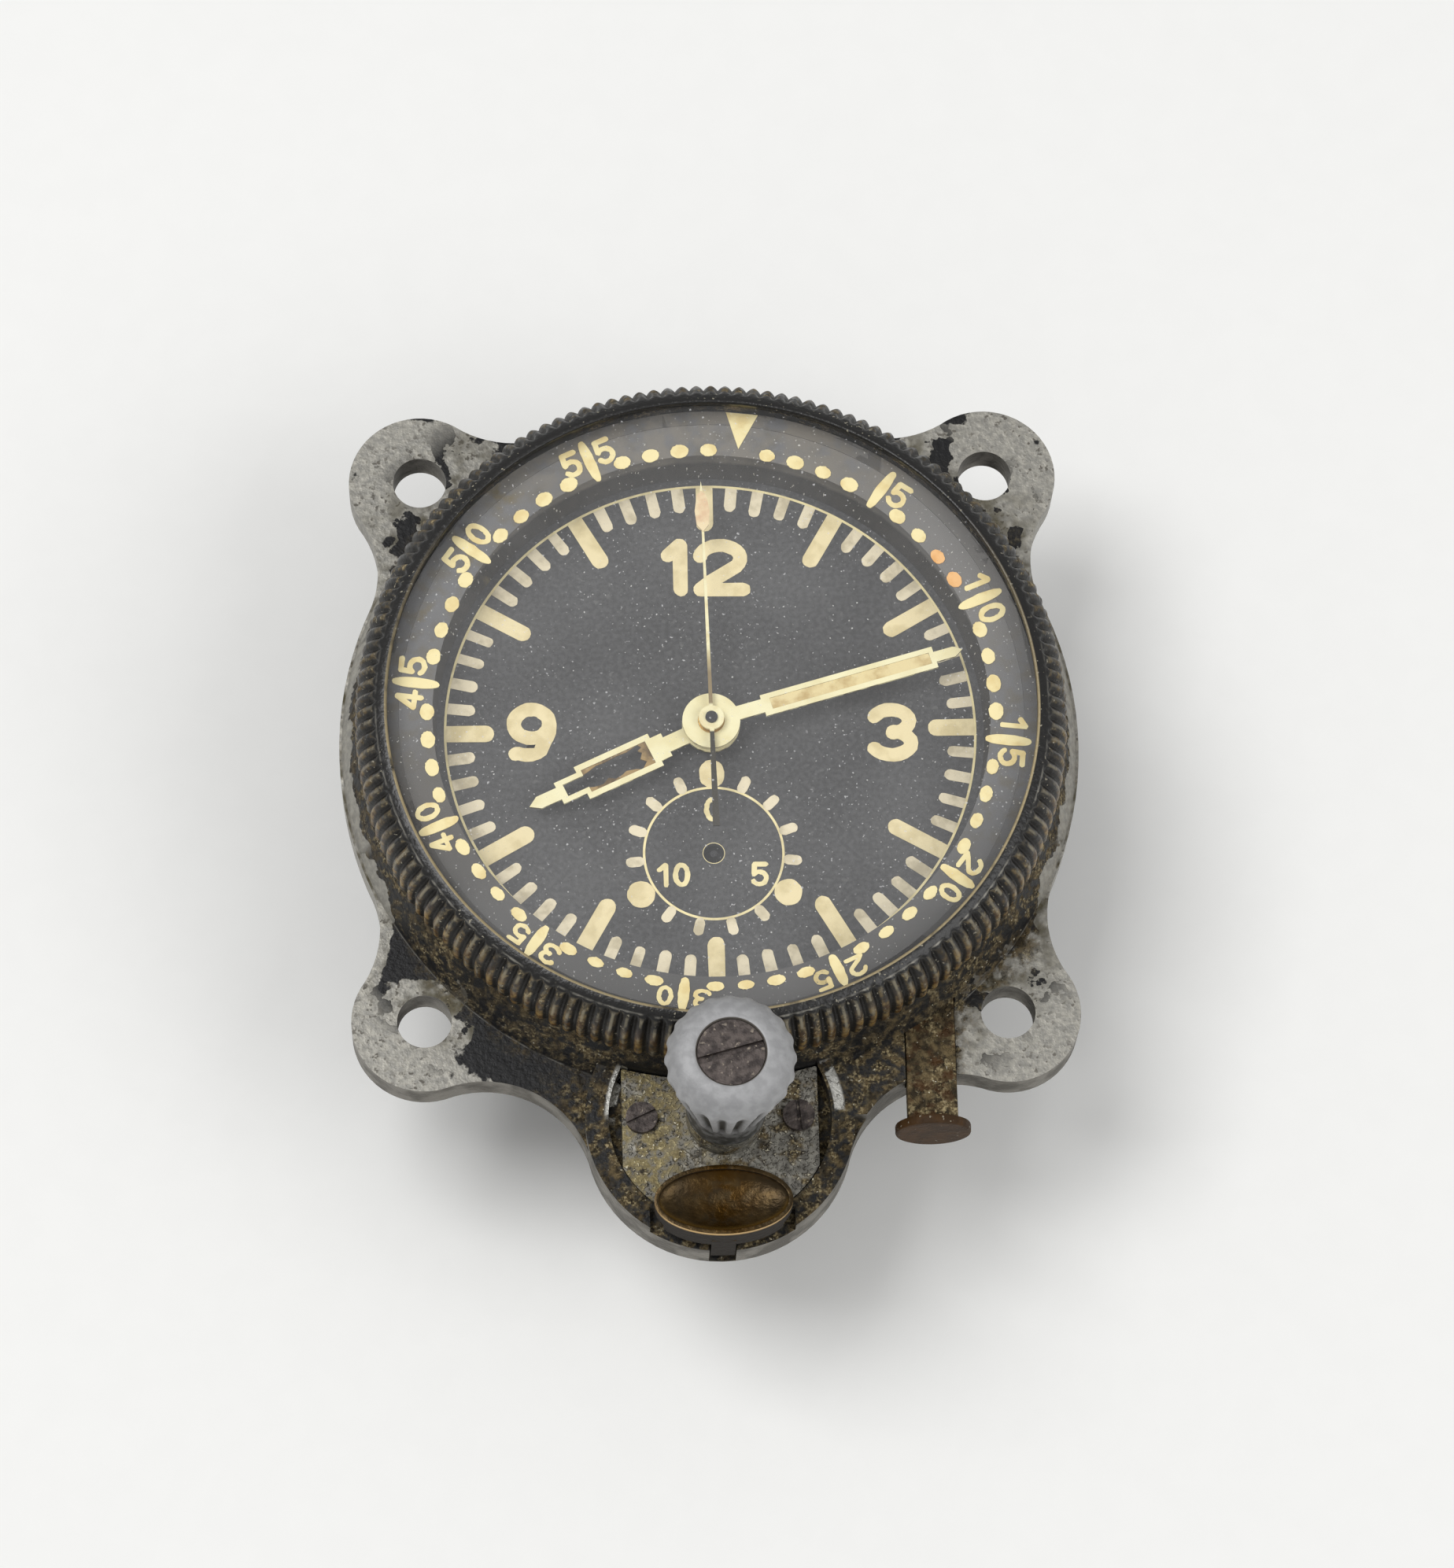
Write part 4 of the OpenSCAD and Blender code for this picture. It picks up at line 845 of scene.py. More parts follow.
def ring_black():
    """Matt cellulose paint on brass rings: painted shade at their foot, dusty grey above it with painted
    light towards the top, and stained brown.
    """
    material, tree, shader, place = start_finish("brass_ring_matt_black")
    spot = put(tree, "ShaderNodeSeparateXYZ", {0: place}).outputs
    # Above about 7.7 mm the dusty grey covers the dark base, which is left below it as painted shade at the
    # rings' foot
    lit_above_shaded_foot = region(tree, (ragged(tree, place, spot["Z"], 2.0, 0.1), 7.6, 7.9))
    # Dust falls straight down, so its pattern does not follow the steep walls
    place = put(tree, "ShaderNodeVectorMath", {0: place, 1: (1.0, 1.0, 0.1)}, operation="MULTIPLY").outputs[0]
    # At the top: brown dust, drawn lighter as painted light against the bezel's shadow there
    upper = both(tree, region(tree, (spot["Y"], 17.0, 22.0)), blotches(tree, place, 1.6, 0.35, 0.6))
    dust = layered(
        tree,
        linear("625f5a"),
        # Lighter above 9.5 mm: painted light against the shade under the bezel's lip
        (region(tree, (spot["Z"], 9.5, 9.7)), linear("6b6b6c")),
        (blotches(tree, place, 1.2, 0.4, 0.7), linear("67635a")),
        # Lighter towards the right, darker towards the lower left and the bottom
        (region(tree, (spot["X"], 6.0, 18.0), (spot["Y"], 0.0, 10.0)), linear("767471")),
        (region(tree, (spot["X"], -8.0, -18.0), (spot["Y"], 2.0, -8.0)), linear("55514b")),
        (region(tree, (spot["Y"], -6.0, -18.0)), linear("4e4d4c")),
        (upper, linear("78736a")),
    )
    stain = both(tree, blotches(tree, place, 3.0, 0.6, 0.72), region(tree, (spot["X"], -10.0, -16.0)))
    lay(
        tree,
        shader,
        (linear("2f2d2a"), 0.7, 0.0),
        (blotches(tree, place, 0.6, 0.36, 0.66), linear("383532"), 0.7, 0.0),
        (lit_above_shaded_foot, dust, 0.8, 0.0),
        (crumbs(tree, place, 0.26, 0.7, 0.74), linear("c9c6bd"), 0.9, 0.0),
        (stain, linear("6f6448"), 0.9, 0.0),
    )
    return material


def aged_lume(name, colour, dark, grain_mm=0.6):
    """Luminous paste: chalky cream, blotched brown where the binder has darkened, with a grainy top."""
    material, tree, shader, place = start_finish(name)
    stain = blotches(tree, place, 1.7, 0.42, 0.72)
    grain = blotches(tree, place, grain_mm, 0.35, 0.7)
    lay(
        tree,
        shader,
        (colour, 0.85, 0.0),
        (stain, dark, 0.85, 0.0),
        (both(tree, grain, stain), dark, 0.95, 0.0),
    )
    emboss(tree, shader, (grain, 0.02))
    return material


def hand_paint(colours):
    """Brass hand under cream paint: eggshell smooth, yellowed in patches and scuffed brown at its edges."""
    material, tree, shader, place = start_finish("brass_hand_cream_paint")
    scuff = both(tree, facing_up(tree, 0.7, 0.2), blotches(tree, place, 0.8, 0.4, 0.6))
    lay(
        tree,
        shader,
        (colours.hand_paint, 0.5, 0.0),
        (blotches(tree, place, 2.4, 0.4, 0.7), linear("f0e4ae"), 0.5, 0.0),
        (scuff, linear("6d5f3f"), 0.6, 0.3),
    )
    emboss(tree, shader, (blotches(tree, place, 0.5, 0.3, 0.7), 0.008))
    return material


def sweep_paint(colours):
    """Steel sweep hand: cream paint, browned near its boss, and a bare dark tail."""
    material, tree, shader, place = start_finish("steel_sweep_cream_paint")
    along = put(tree, "ShaderNodeSeparateXYZ", {0: place}).outputs["Y"]
    lay(
        tree,
        shader,
        (colours.hand_paint, 0.5, 0.0),
        (blotches(tree, place, 1.5, 0.4, 0.7), linear("e6d49c"), 0.5, 0.0),
        (region(tree, (along, 6.5, 4.0), (along, 1.1, 1.3)), linear("8d7a55"), 0.55, 0.2),
        (region(tree, (along, -1.15, -1.3)), linear("3a362c"), 0.45, 0.6),
    )
    emboss(tree, shader, (blotches(tree, place, 0.5, 0.3, 0.7), 0.006))
    return material


def handled_alloy():
    """Turned light alloy, blasted and handled: soft satin grey, darker deep in its flutes low on its side,
    with painted shade on its plain foot and round the screw's seat.
    """
    material, tree, shader, place = start_finish("turned_alloy_handled")
    groove = put(tree, "ShaderNodeAttribute", attribute_name="groove").outputs["Fac"]
    deep = put(tree, "ShaderNodeMapRange", {0: groove, 1: 0.3, 2: 0.85}).outputs[0]
    foot, top = (corner.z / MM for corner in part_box("crown"))
    screw_r = reach("crown_screw", KNOB_AXIS)[1] / MM
    height = put(tree, "ShaderNodeSeparateXYZ", {0: place}).outputs["Z"]
    side = region(tree, (ragged(tree, place, height, 1.5, 0.7), foot + 12.6, foot + 9.5))
    plain = region(tree, (ragged(tree, place, height, 1.5, 0.6), foot + 4.4, foot + 3.2))
    # Ring round the screw's seat drawn darker: painted shade on its chamfer
    rim = region(
        tree,
        (outward(tree, place, KNOB_AXIS), screw_r + 0.17, screw_r + 0.13),
        (height, top - 1.0, top - 0.9),
    )
    # The plain foot under the flared knob is drawn darker: painted shade
    foot_shade = layered(tree, linear("4a4a48"), (blotches(tree, place, 0.8, 0.4, 0.6), linear("7d7d7c")))
    lay(
        tree,
        shader,
        (linear("99999a"), 0.6, 0.4),
        (blotches(tree, place, 0.9, 0.36, 0.64), linear("a6a6a7"), 0.6, 0.4),
        # Darker deep in the flutes, low on the side
        (both(tree, side, deep), linear("37352f"), 0.75, 0.2),
        (rim, linear("5b5650"), 0.6, 0.3),
        (plain, foot_shade, 0.6, 0.4),
    )
    emboss(tree, shader, (blotches(tree, place, 0.3, 0.3, 0.7), 0.012))
    return material


def browned_steel():
    """Steel screw head: blueing gone to thin brown rust, with lighter rubbed spots."""
    material, tree, shader, place = start_finish("steel_screw_browned")
    lay(
        tree,
        shader,
        (linear("393230"), 0.55, 0.4),
        (blotches(tree, place, 0.7, 0.35, 0.65), linear("5d5450"), 0.55, 0.4),
        (blotches(tree, place, 0.5, 0.6, 0.68), linear("857b70"), 0.45, 0.6),
    )
    emboss(tree, shader, (blotches(tree, place, 0.3, 0.35, 0.65), 0.03))
    return material


def grimed_plate(colours):
    """Machined alloy plate under dried oil and dust: grey where wiped, brown and yellow-green on the left."""
    material, tree, shader, place = start_finish("machined_alloy_grimed")
    across = put(tree, "ShaderNodeSeparateXYZ", {0: place}).outputs["X"]
    film = blotches(tree, place, 1.2, 0.46, 0.62)
    green = both(tree, blotches(tree, place, 0.7, 0.38, 0.56), blotches(tree, place, 2.6, 0.34, 0.5))
    green = both(tree, region(tree, (across, 1.5, -5.0)), green)
    verdigris = layered(tree, linear("7d7150"), (crumbs(tree, place, 0.3, 0.4, 0.66), linear("bdae80")))
    lay(
        tree,
        shader,
        (linear("74716a"), 0.5, 0.6),
        (blotches(tree, place, 0.7, 0.34, 0.66), linear("a3a096"), 0.5, 0.6),
        (film, caked_dirt(tree, place, colours), 0.85, 0.05),
        (green, verdigris, 0.95, 0.0),
        (both(tree, crumbs(tree, place, 0.3, 0.64, 0.69), film), colours.dust, 0.95, 0.0),
    )
    emboss(tree, shader, (film, 0.05), (crumbs(tree, place, 0.3, 0.5, 0.66), 0.1))
    return material


def patinated_brass():
    """Stamped brass thumb plate: glossy brown-black patina, golden along the rim where it has been rubbed."""
    material, tree, shader, place = start_finish("stamped_brass_patinated")
    low, high = (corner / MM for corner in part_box("thumb_plate"))
    spot = put(tree, "ShaderNodeSeparateXYZ", {0: place}).outputs
    hollow = region(tree, (spot["X"], -3.5, 0.0), (spot["X"], 3.5, 0.0))
    hollow = both(tree, hollow, blotches(tree, place, 1.0, 0.3, 0.6))
    front = region(tree, (spot["Z"], high.z - 0.55, high.z - 0.3), (spot["Y"], low.y + 3.2, low.y + 1.2))
    lay(
        tree,
        shader,
        (linear("3d3222"), 0.3, 0.75),
        (blotches(tree, place, 1.4, 0.35, 0.7), linear("55452c"), 0.3, 0.75),
        (hollow, linear("4c340f"), 0.26, 0.85),
        (facing_up(tree, 0.5, 0.3), linear("231c14"), 0.7, 0.1),
        (both(tree, facing_up(tree, 0.95, 0.7), front), linear("c29a4e"), 0.3, 0.95),
    )
    # Old lacquer, so less of a gloss than clear plastic
    shader.inputs["Specular IOR Level"].default_value = 0.2
    emboss(tree, shader, (blotches(tree, place, 0.5, 0.3, 0.7), 0.02))
    return material


def browned_piece(colours, name, gritty):
    """Steel push-piece: satin brown oxide with a few pale chips, or caked with grit in its channel."""
    material, tree, shader, place = start_finish(name)
    if gritty:
        dirt = (blotches(tree, place, 0.9, 0.34, 0.52), caked_dirt(tree, place, colours), 0.9, 0.0)
    else:
        dirt = (crumbs(tree, place, 0.4, 0.68, 0.72), linear("8a8272"), 0.9, 0.0)
    lay(
        tree,
        shader,
        (linear("382612"), 0.6, 0.0),
        (blotches(tree, place, 1.2, 0.35, 0.7), linear("4a331a"), 0.6, 0.0),
        dirt,
    )
    shader.inputs["Specular IOR Level"].default_value = 0.2
    emboss(tree, shader, (crumbs(tree, place, 0.36, 0.5, 0.66), 0.1 if gritty else 0.02))
    return material


def grained_metal(name, light, dark, roughness, grain_mm, stretch=(1.0, 12.0, 1.0)):
    """Movement metal with a straight grain: light and dark threads along one way, bright and clean.

    A real grain is finer, and is drawn this coarse so that it shows.
    """
    material, tree, shader, place = start_finish(name)
    drawn = put(tree, "ShaderNodeMapping", {0: place, 3: stretch}).outputs[0]
    grain = blotches(tree, drawn, grain_mm, 0.3, 0.7, 2.0)
    shade = both(tree, grain, blotches(tree, place, 4.0, 0.35, 0.7))
    lay(tree, shader, (light, roughness, 1.0), (shade, dark, roughness, 1.0))
    emboss(tree, shader, (grain, 0.006))
    return material


def ruby():
    """Synthetic ruby bearing: polished deep red with paler flow lines."""
    material, tree, shader, place = start_finish("synthetic_ruby_polished")
    flow = blotches(tree, place, 0.4, 0.35, 0.65)
    lay(tree, shader, (linear("8e1230"), 0.08, 0.0), (flow, linear("b3244a"), 0.08, 0.0))
    shader.inputs["IOR"].default_value = 1.76
    return material


def matt_floor(colour):
    """Seamless paper: matt and nearly white, with a trace of tooth."""
    material, tree, shader, place = start_finish("paper_matt_floor")
    tooth = blotches(tree, place, 3.0, 0.3, 0.7)
    shade = tuple(c * 0.99 for c in colour[:3]) + (1.0,)
    lay(tree, shader, (colour, 0.9, 0.0), (tooth, shade, 0.9, 0.0))
    return material


def dress(material, *nodes):
    """Give CAD nodes a material."""
    for node in nodes:
        mesh = NODES[node].data
        mesh.materials.clear()
        mesh.materials.append(material)


def add_piece(name, bm, material, body, replaces=()):
    """Turn a bmesh into a piece that rides on a body."""
    mesh = bpy.data.meshes.new(name)
    bmesh.ops.recalc_face_normals(bm, faces=bm.faces)
    bm.to_mesh(mesh)
    bm.free()
    mesh.materials.append(material)
    piece = bpy.data.objects.new(name, mesh)
    bpy.context.scene.collection.objects.link(piece)
    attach(piece, body)
    if replaces:
        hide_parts(*replaces)
    return piece


def slab(bm, outline, low, high):
    """Closed flat slab with this outline between two heights."""
    floor = [bm.verts.new((x, y, low)) for x, y in outline]
    roof = [bm.verts.new((x, y, high)) for x, y in outline]
    bm.faces.new(floor)
    bm.faces.new(roof)
    for i, corner in enumerate(floor):
        following = (i + 1) % len(floor)
        bm.faces.new((corner, floor[following], roof[following], roof[i]))


def hoop(bm, inner, outer, low, high):
    """Closed flat ring between two outlines of as many points."""
    corners = ((inner, low), (outer, low), (outer, high), (inner, high))
    rings = [[bm.verts.new((x, y, z)) for x, y in line] for line, z in corners]
    count = len(inner)
    for a, b in zip(rings, rings[1:] + rings[:1]):
        for i in range(count):
            following = (i + 1) % count
            bm.faces.new((a[i], a[following], b[following], b[i]))


def arc(cx, cy, rx, ry, start, end, steps=14):
    """Points along an arc of an ellipse, angles in degrees anticlockwise from the right."""
    turns = [math.radians(start + (end - start) * i / steps) for i in range(steps + 1)]
    return [(cx + rx * math.cos(turn), cy + ry * math.sin(turn)) for turn in turns]


def disc_outline(centre, radius, steps=28):
    """Points round a circle."""
    return arc(centre[0], centre[1], radius, radius, 0, 360, steps)[:-1]


def clockwise(point, angle):
    """A point turned clockwise, as a hand turns."""
    x, y = point
    return x * math.cos(angle) + y * math.sin(angle), y * math.cos(angle) - x * math.sin(angle)


def moved(spot):
    """Function that moves a point by this much."""
    return lambda p: (p[0] + spot[0], p[1] + spot[1])


def bar_outline(angle, inner, outer, width, round_outer=False, steps=8):
    """Radial bar with a rounded inner end, and a rounded outer one if asked."""
    half = width / 2
    outline = arc(0, inner + half, half, half, 180, 360, steps)
    if round_outer:
        outline += arc(0, outer - half, half, half, 0, 180, steps)
    else:
        outline += [(half, outer), (-half, outer)]
    return [clockwise(p, angle) for p in outline]


# Strokes of each figure, in figure heights about its middle
FIGURE_STROKES = {
    "0": [arc(0, 0, 0.24, 0.41, 90, 450, 28)],
    "worn 0": [arc(0, 0, 0.24, 0.41, 82, 285, 20)],
    "1": [[(0.08, 0.41), (0.08, -0.41)], [(-0.17, 0.22), (0.06, 0.41)]],
    "2": [
        arc(-0.01, 0.17, 0.29, 0.24, 170, -38) + [(-0.16, -0.26), (-0.3, -0.4)],
        [(-0.3, -0.41), (0.31, -0.41)],
    ],
    "3": [
        arc(-0.02, 0.2, 0.27, 0.21, 155, -85),
        arc(-0.02, -0.2, 0.29, 0.21, 85, -155),
    ],
    "4": [[(0.1, 0.41), (0.1, -0.41)], [(0.08, 0.41), (-0.28, -0.16)], [(-0.28, -0.18), (0.28, -0.18)]],
    "5": [
        [(0.24, 0.41), (-0.2, 0.41)],
        [(-0.2, 0.41), (-0.23, 0.04)],
        arc(-0.02, -0.15, 0.27, 0.26, 140, -150),
    ],
    "9": [
        arc(0, 0.15, 0.3, 0.26, 0, 360, 28),
        arc(-0.3, 0.1, 0.6, 0.51, 6, -30, 6)
        + arc(-0.08, -0.17, 0.34, 0.24, -40, -115, 8)[1:]
        + [(-0.28, -0.39)],
    ],
}


def brushed(outline, brush, swing_mm=0.03):
    """An outline with the small unevenness of a brush."""
    swing = swing_mm * MM
    return [(x + brush.uniform(-swing, swing), y + brush.uniform(-swing, swing)) for x, y in outline]


def ribbon(points, width, steps=6):
    """Outline of a stroke of this width with round ends along a smooth line."""
    left, right = [], []
    half = width / 2
    for i, (x, y) in enumerate(points):
        before, after = points[max(i - 1, 0)], points[min(i + 1, len(points) - 1)]
        way = Vector((after[0] - before[0], after[1] - before[1])).normalized()
        left.append((x - way.y * half, y + way.x * half))
        right.append((x + way.y * half, y - way.x * half))

    def cap(tip, towards):
        facing = math.degrees(math.atan2(towards[1], towards[0]))
        return arc(tip[0], tip[1], half, half, facing + 90, facing - 90, steps)[1:-1]

    end = Vector(points[-1]) - Vector(points[-2])
    start = Vector(points[0]) - Vector(points[1])
    return left + cap(points[-1], end) + right[::-1] + cap(points[0], start)


def add_figure(bm, figure, height, stroke, place, low, high, brush, stretch=1.0):
    """Add one figure's strokes; place turns a point of the upright figure into a point of the dial."""
    for number, line in enumerate(FIGURE_STROKES[figure]):
        points = [(x * height * stretch, y * height) for x, y in line]
        # Strokes that cross lie one under the other, as layers of paint do
        high -= STEP * min(number, 1)
        closed = math.dist(points[0], points[-1]) < 1e-9
        if closed:
            ring = points[:-1]
            centre = Vector((sum(p[0] for p in ring), sum(p[1] for p in ring))) / len(ring)
            inner, outer = [], []
            for i, point in enumerate(ring):
                way = Vector(ring[(i + 1) % len(ring)]) - Vector(ring[i - 1])
                across = Vector((way.y, -way.x)).normalized() * stroke / 2
                spot = Vector(point)
                nearer, farther = sorted((spot - across, spot + across), key=lambda p: (p - centre).length)
                inner.append(place(nearer))
                outer.append(place(farther))
            hoop(bm, brushed(inner, brush), brushed(outer, brush), low, high)
        else:
            slab(bm, brushed([place(p) for p in ribbon(points, stroke)], brush), low, high)


def soften(node, width_mm, material, body, sharp=35.0, segments=2):
    """Copy of a CAD node with its sharp edges broken, which stands for the node."""
    same_point, same_plane = 1e-7, math.radians(1.0)
    bm = bmesh.new()
    bm.from_mesh(NODES[node].data)
    bmesh.ops.remove_doubles(bm, verts=bm.verts, dist=same_point)
    bmesh.ops.dissolve_limit(bm, angle_limit=same_plane, verts=bm.verts, edges=bm.edges)
    keen = [e for e in bm.edges if e.is_manifold and e.calc_face_angle(0.0) > math.radians(sharp)]
    bmesh.ops.bevel(
        bm,
        geom=keen,
        offset=width_mm * MM,
        segments=segments,
        profile=0.5,
        affect="EDGES",
        clamp_overlap=True,
    )
    bmesh.ops.triangulate(bm, faces=[f for f in bm.faces if len(f.verts) > 4])
    for face in bm.faces:
        face.smooth = True
    for edge in bm.edges:
        edge.smooth = not (edge.is_manifold and edge.calc_face_angle(0.0) > math.radians(sharp))
    piece = add_piece(node + "_softened", bm, material, body, replaces=(node,))
    weighted = piece.modifiers.new("even_shading", "WEIGHTED_NORMAL")
    weighted.keep_sharp = True
    return piece


def revolve(bm, profile, columns, depth, cut, axis=(0.0, 0.0)):
    """Closed ring round an upright axis.

    A profile point is a radius, a height, the way out of the surface, and how far along the flutes it lies,
    or None where there are none; cut gives their depth there, 0 to 1.
    """
    crease = math.radians(50)
    groove = bm.verts.layers.float.new("groove")
    rings = []
    for radius, height, way, along in profile:
        ring = []
        for i in range(columns):
            share = 0.0 if along is None else cut(i, along)
            r, z = radius - share * depth * way[0], height - share * depth * way[1]
            angle = math.tau * i / columns
            vert = bm.verts.new((axis[0] + r * math.cos(angle), axis[1] + r * math.sin(angle), z))
            vert[groove] = share
            ring.append(vert)
        rings.append(ring)
    for lower, upper in zip(rings, rings[1:] + rings[:1]):
        for i in range(columns):
            following = (i + 1) % columns
            face = bm.faces.new((lower[i], lower[following], upper[following], upper[i]))
            face.smooth = True
    for edge in bm.edges:
        edge.smooth = edge.calc_face_angle(0.0) < crease


class CLOCK_OT_case(bpy.types.Operator):
    """Finish the cast flange and the rear can"""

    bl_idname = "clock.case"
    bl_label = "Case"

    def execute(self, context):
        colours = context.scene.clock_finish
        soften("case_flange", 0.3, flaked_enamel(colours), "case")
        dress(enamelled_can(colours), "rear_case")
        return {"FINISHED"}


class CLOCK_OT_bezel(bpy.types.Operator):
    """Make the fluted bezel and the scale's band, and finish the rings round the dial"""

    bl_idname = "clock.bezel"
    bl_label = "Bezel"

    def execute(self, context):
        settings, colours = context.scene.clock_bezel, context.scene.clock_finish
        points, edge = self.profile(settings)
        bm = bmesh.new()
        revolve(
            bm,
            points,
            settings.flutes * BEZEL_COLUMNS,
            settings.flute_depth,
            lambda column, along: self.flute(settings, column, along),
        )
        paint = rubbed_enamel(colours, edge / MM)
        add_piece("bezel_grip", bm, paint, "bezel", replaces=("bezel_ring", "bezel_cap"))
        wire = grained_metal("spring_steel_drawn", linear("9a9b9d"), linear("6f7073"), 0.3, 0.2)
        dress(wire, "bezel_wire")
        dusty = ring_black()
        dress(dusty, "crystal_ring", "dial_ring")
        self.band(settings, dusty)
        return {"FINISHED"}

    @staticmethod
    def band(settings, material):
        """Flat grey ring under the crystal, which carries the scale."""
        thickness, play, steps = 0.1 * MM, 0.02 * MM, 240
        top = CRYSTAL_UNDER + KEYED - SCALE_PAINT - 0.01 * MM
        bore = reach("crystal_ring")[0] - play
        rounds = [disc_outline((0.0, 0.0), r, steps) for r in (settings.band_inner, bore)]
        bm = bmesh.new()
        hoop(bm, *rounds, top - thickness, top)
        add_piece("scale_band", bm, material, "bezel")

    @staticmethod
    def profile(settings):
        """Closed section, and the height of the flutes' upper end.

        A point is a radius, a height, the way outward, and the distance from the flutes' upper end or None.
        """
        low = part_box("bezel_ring")[0].z
        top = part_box("bezel_cap")[1].z
        bore = reach("bezel_cap")[0]
        bore_r = reach("crystal")[1]
        crystal_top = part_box("crystal")[1].z
        wire_low, wire_high = (corner.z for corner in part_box("bezel_wire"))
        wire_r = reach("bezel_wire")[1]
        play, foot_chamfer, lip_chamfer, lip_width = 0.05 * MM, 0.12 * MM, 0.08 * MM, 0.25 * MM
        shoulder = low + settings.wall
        rise = top - shoulder
        run = BEZEL_R - bore - lip_width
        # One arc from the upright wall to the lip, tangent to the wall
        arc_r = (run * run + rise * rise) / (2 * run)
        centre = BEZEL_R - arc_r
        sweep = math.asin(rise / arc_r)
        arc_length = arc_r * sweep
        flute_end = arc_length - settings.smooth_rim
        wall_steps, arc_steps = 4, 18
        points = [(BEZEL_R - foot_chamfer, low, (1.0, 0.0), -settings.wall - flute_end)]
        for step in range(1, wall_steps):
            height = low + settings.wall * step / wall_steps
            points.append((BEZEL_R, height, (1.0, 0.0), height - shoulder - flute_end))
        for step in range(arc_steps + 1):
            turn = sweep * step / arc_steps
            way = (math.cos(turn), math.sin(turn))
            points.append((centre + arc_r * way[0], shoulder + arc_r * way[1], way, arc_r * turn - flute_end))
        plain = [
            (bore + lip_chamfer, top),
            (bore, top - lip_chamfer),
            (bore, crystal_top + play),
            (bore_r + play, crystal_top + play),
            (bore_r + play, wire_high + play),
            (wire_r + play, wire_high + play),
            (wire_r + play, wire_low - play),
            (bore_r + play, wire_low - play),
            (bore_r + play, low),
        ]
        edge = shoulder + arc_r * math.sin(flute_end / arc_r)
        return points + [(r, z, (1.0, 0.0), None) for r, z in plain], edge

    @staticmethod
    def flute(settings, column, along):
        """Depth of the flutes at one column, 0 to 1: narrow between round ribs, round where they end."""
        half = math.tau * BEZEL_R / settings.flutes / 2
        past = max(0.0, along / half + 1)
        width = math.sqrt(max(0.0, 1 - past * past))
        off = abs(2 * (column % BEZEL_COLUMNS) / BEZEL_COLUMNS - 1)
        return width * (1 - off / width) ** settings.roundness if off < width else 0.0


class CLOCK_OT_crystal(bpy.types.Operator):
    """Finish the crystal and paint the minute scale on its underside"""

    bl_idname = "clock.crystal"
    bl_label = "Crystal and scale"

    def execute(self, context):
        settings, colours = context.scene.clock_scale, context.scene.clock_finish
        dress(scuffed_acrylic(), "crystal")
        high = CRYSTAL_UNDER + KEYED
        low = high - SCALE_PAINT
        cream = aged_lume("scale_paint_yellowed", colours.scale_paint, linear("efd898"))
        orange = aged_lume("scale_paint_oranged", linear("fbc585"), linear("e8a75c"))
        brush = random.Random(5)
        marks, burnt, figures = bmesh.new(), bmesh.new(), bmesh.new()
        for minute in range(MINUTES):
            angle = math.tau * minute / MINUTES + settings.turn
            if minute == 0:
                outline = self.pointer(settings)
            elif minute % 5 == 0:
                outline = self.bar(settings)
                self.figures(settings, figures, minute, angle, low, high - 3 * STEP, brush)
            else:
                # A dot is a flat drop, wider round the ring than across it
                drop = disc_outline((0.0, 0.0), settings.dot_radius * brush.uniform(0.93, 1.07))
                outline = [(x, settings.dot_ring + y * settings.dot_flatness) for x, y in drop]
            height, ring = self.squeeze(settings, angle), settings.figure_ring
            outline = [clockwise((x, ring + (y - ring) * height), angle) for x, y in outline]
            # The two dots before 10 have burnt orange
            slab(burnt if minute in (8, 9) else marks, brushed(outline, brush), low, high)
        add_piece("scale_marks", marks, cream, "bezel")
        add_piece("scale_burnt_dots", burnt, orange, "bezel")
        add_piece("scale_figures", figures, cream, "bezel")
        return {"FINISHED"}

    @staticmethod
    def pointer(settings):
        """Triangle at zero."""
        half, base = settings.pointer_width / 2, settings.bar_outer + 0.4 * MM
        return [(-half, base), (half, base), (0.0, base - settings.pointer_height)]

    @staticmethod
    def bar(settings, steps=24):
        """Bar that is fullest in its middle, as a loaded brush leaves it."""
        fullness = 0.7
        half = settings.bar_width / 2
        centre = (settings.bar_inner + settings.bar_outer) / 2
        reach_out = (settings.bar_outer - settings.bar_inner) / 2
        outline = []
        for step in range(steps):
            across, along = math.sin(math.tau * step / steps), math.cos(math.tau * step / steps)
            width = half * math.copysign(abs(across) ** fullness, across)
            outline.append((width, centre + reach_out * along))
        return outline

    @staticmethod
    def squeeze(settings, angle):
        """Share of their height that marks keep; laid on by hand, they crowd together towards the bottom."""
        return 1 - settings.crowding * max(0.0, -math.cos(angle))

    @classmethod
    def figures(cls, settings, bm, minute, angle, low, high, brush):
        """The tens to the left of a bar and the ones to its right."""
        height = cls.squeeze(settings, angle)
        width = (1 + height) / 2
        for side, digit in zip((-1, 1), f"{minute:2d}"):
            if digit == " ":
                continue
            x, y = side * settings.figure_offset, settings.figure_ring
            add_figure(
                bm,
                digit,
                settings.figure_height,
                settings.figure_stroke,
                lambda p, x=x: clockwise((p[0] * width + x, p[1] * height + y), angle),
                low,
                high,
                brush,
            )


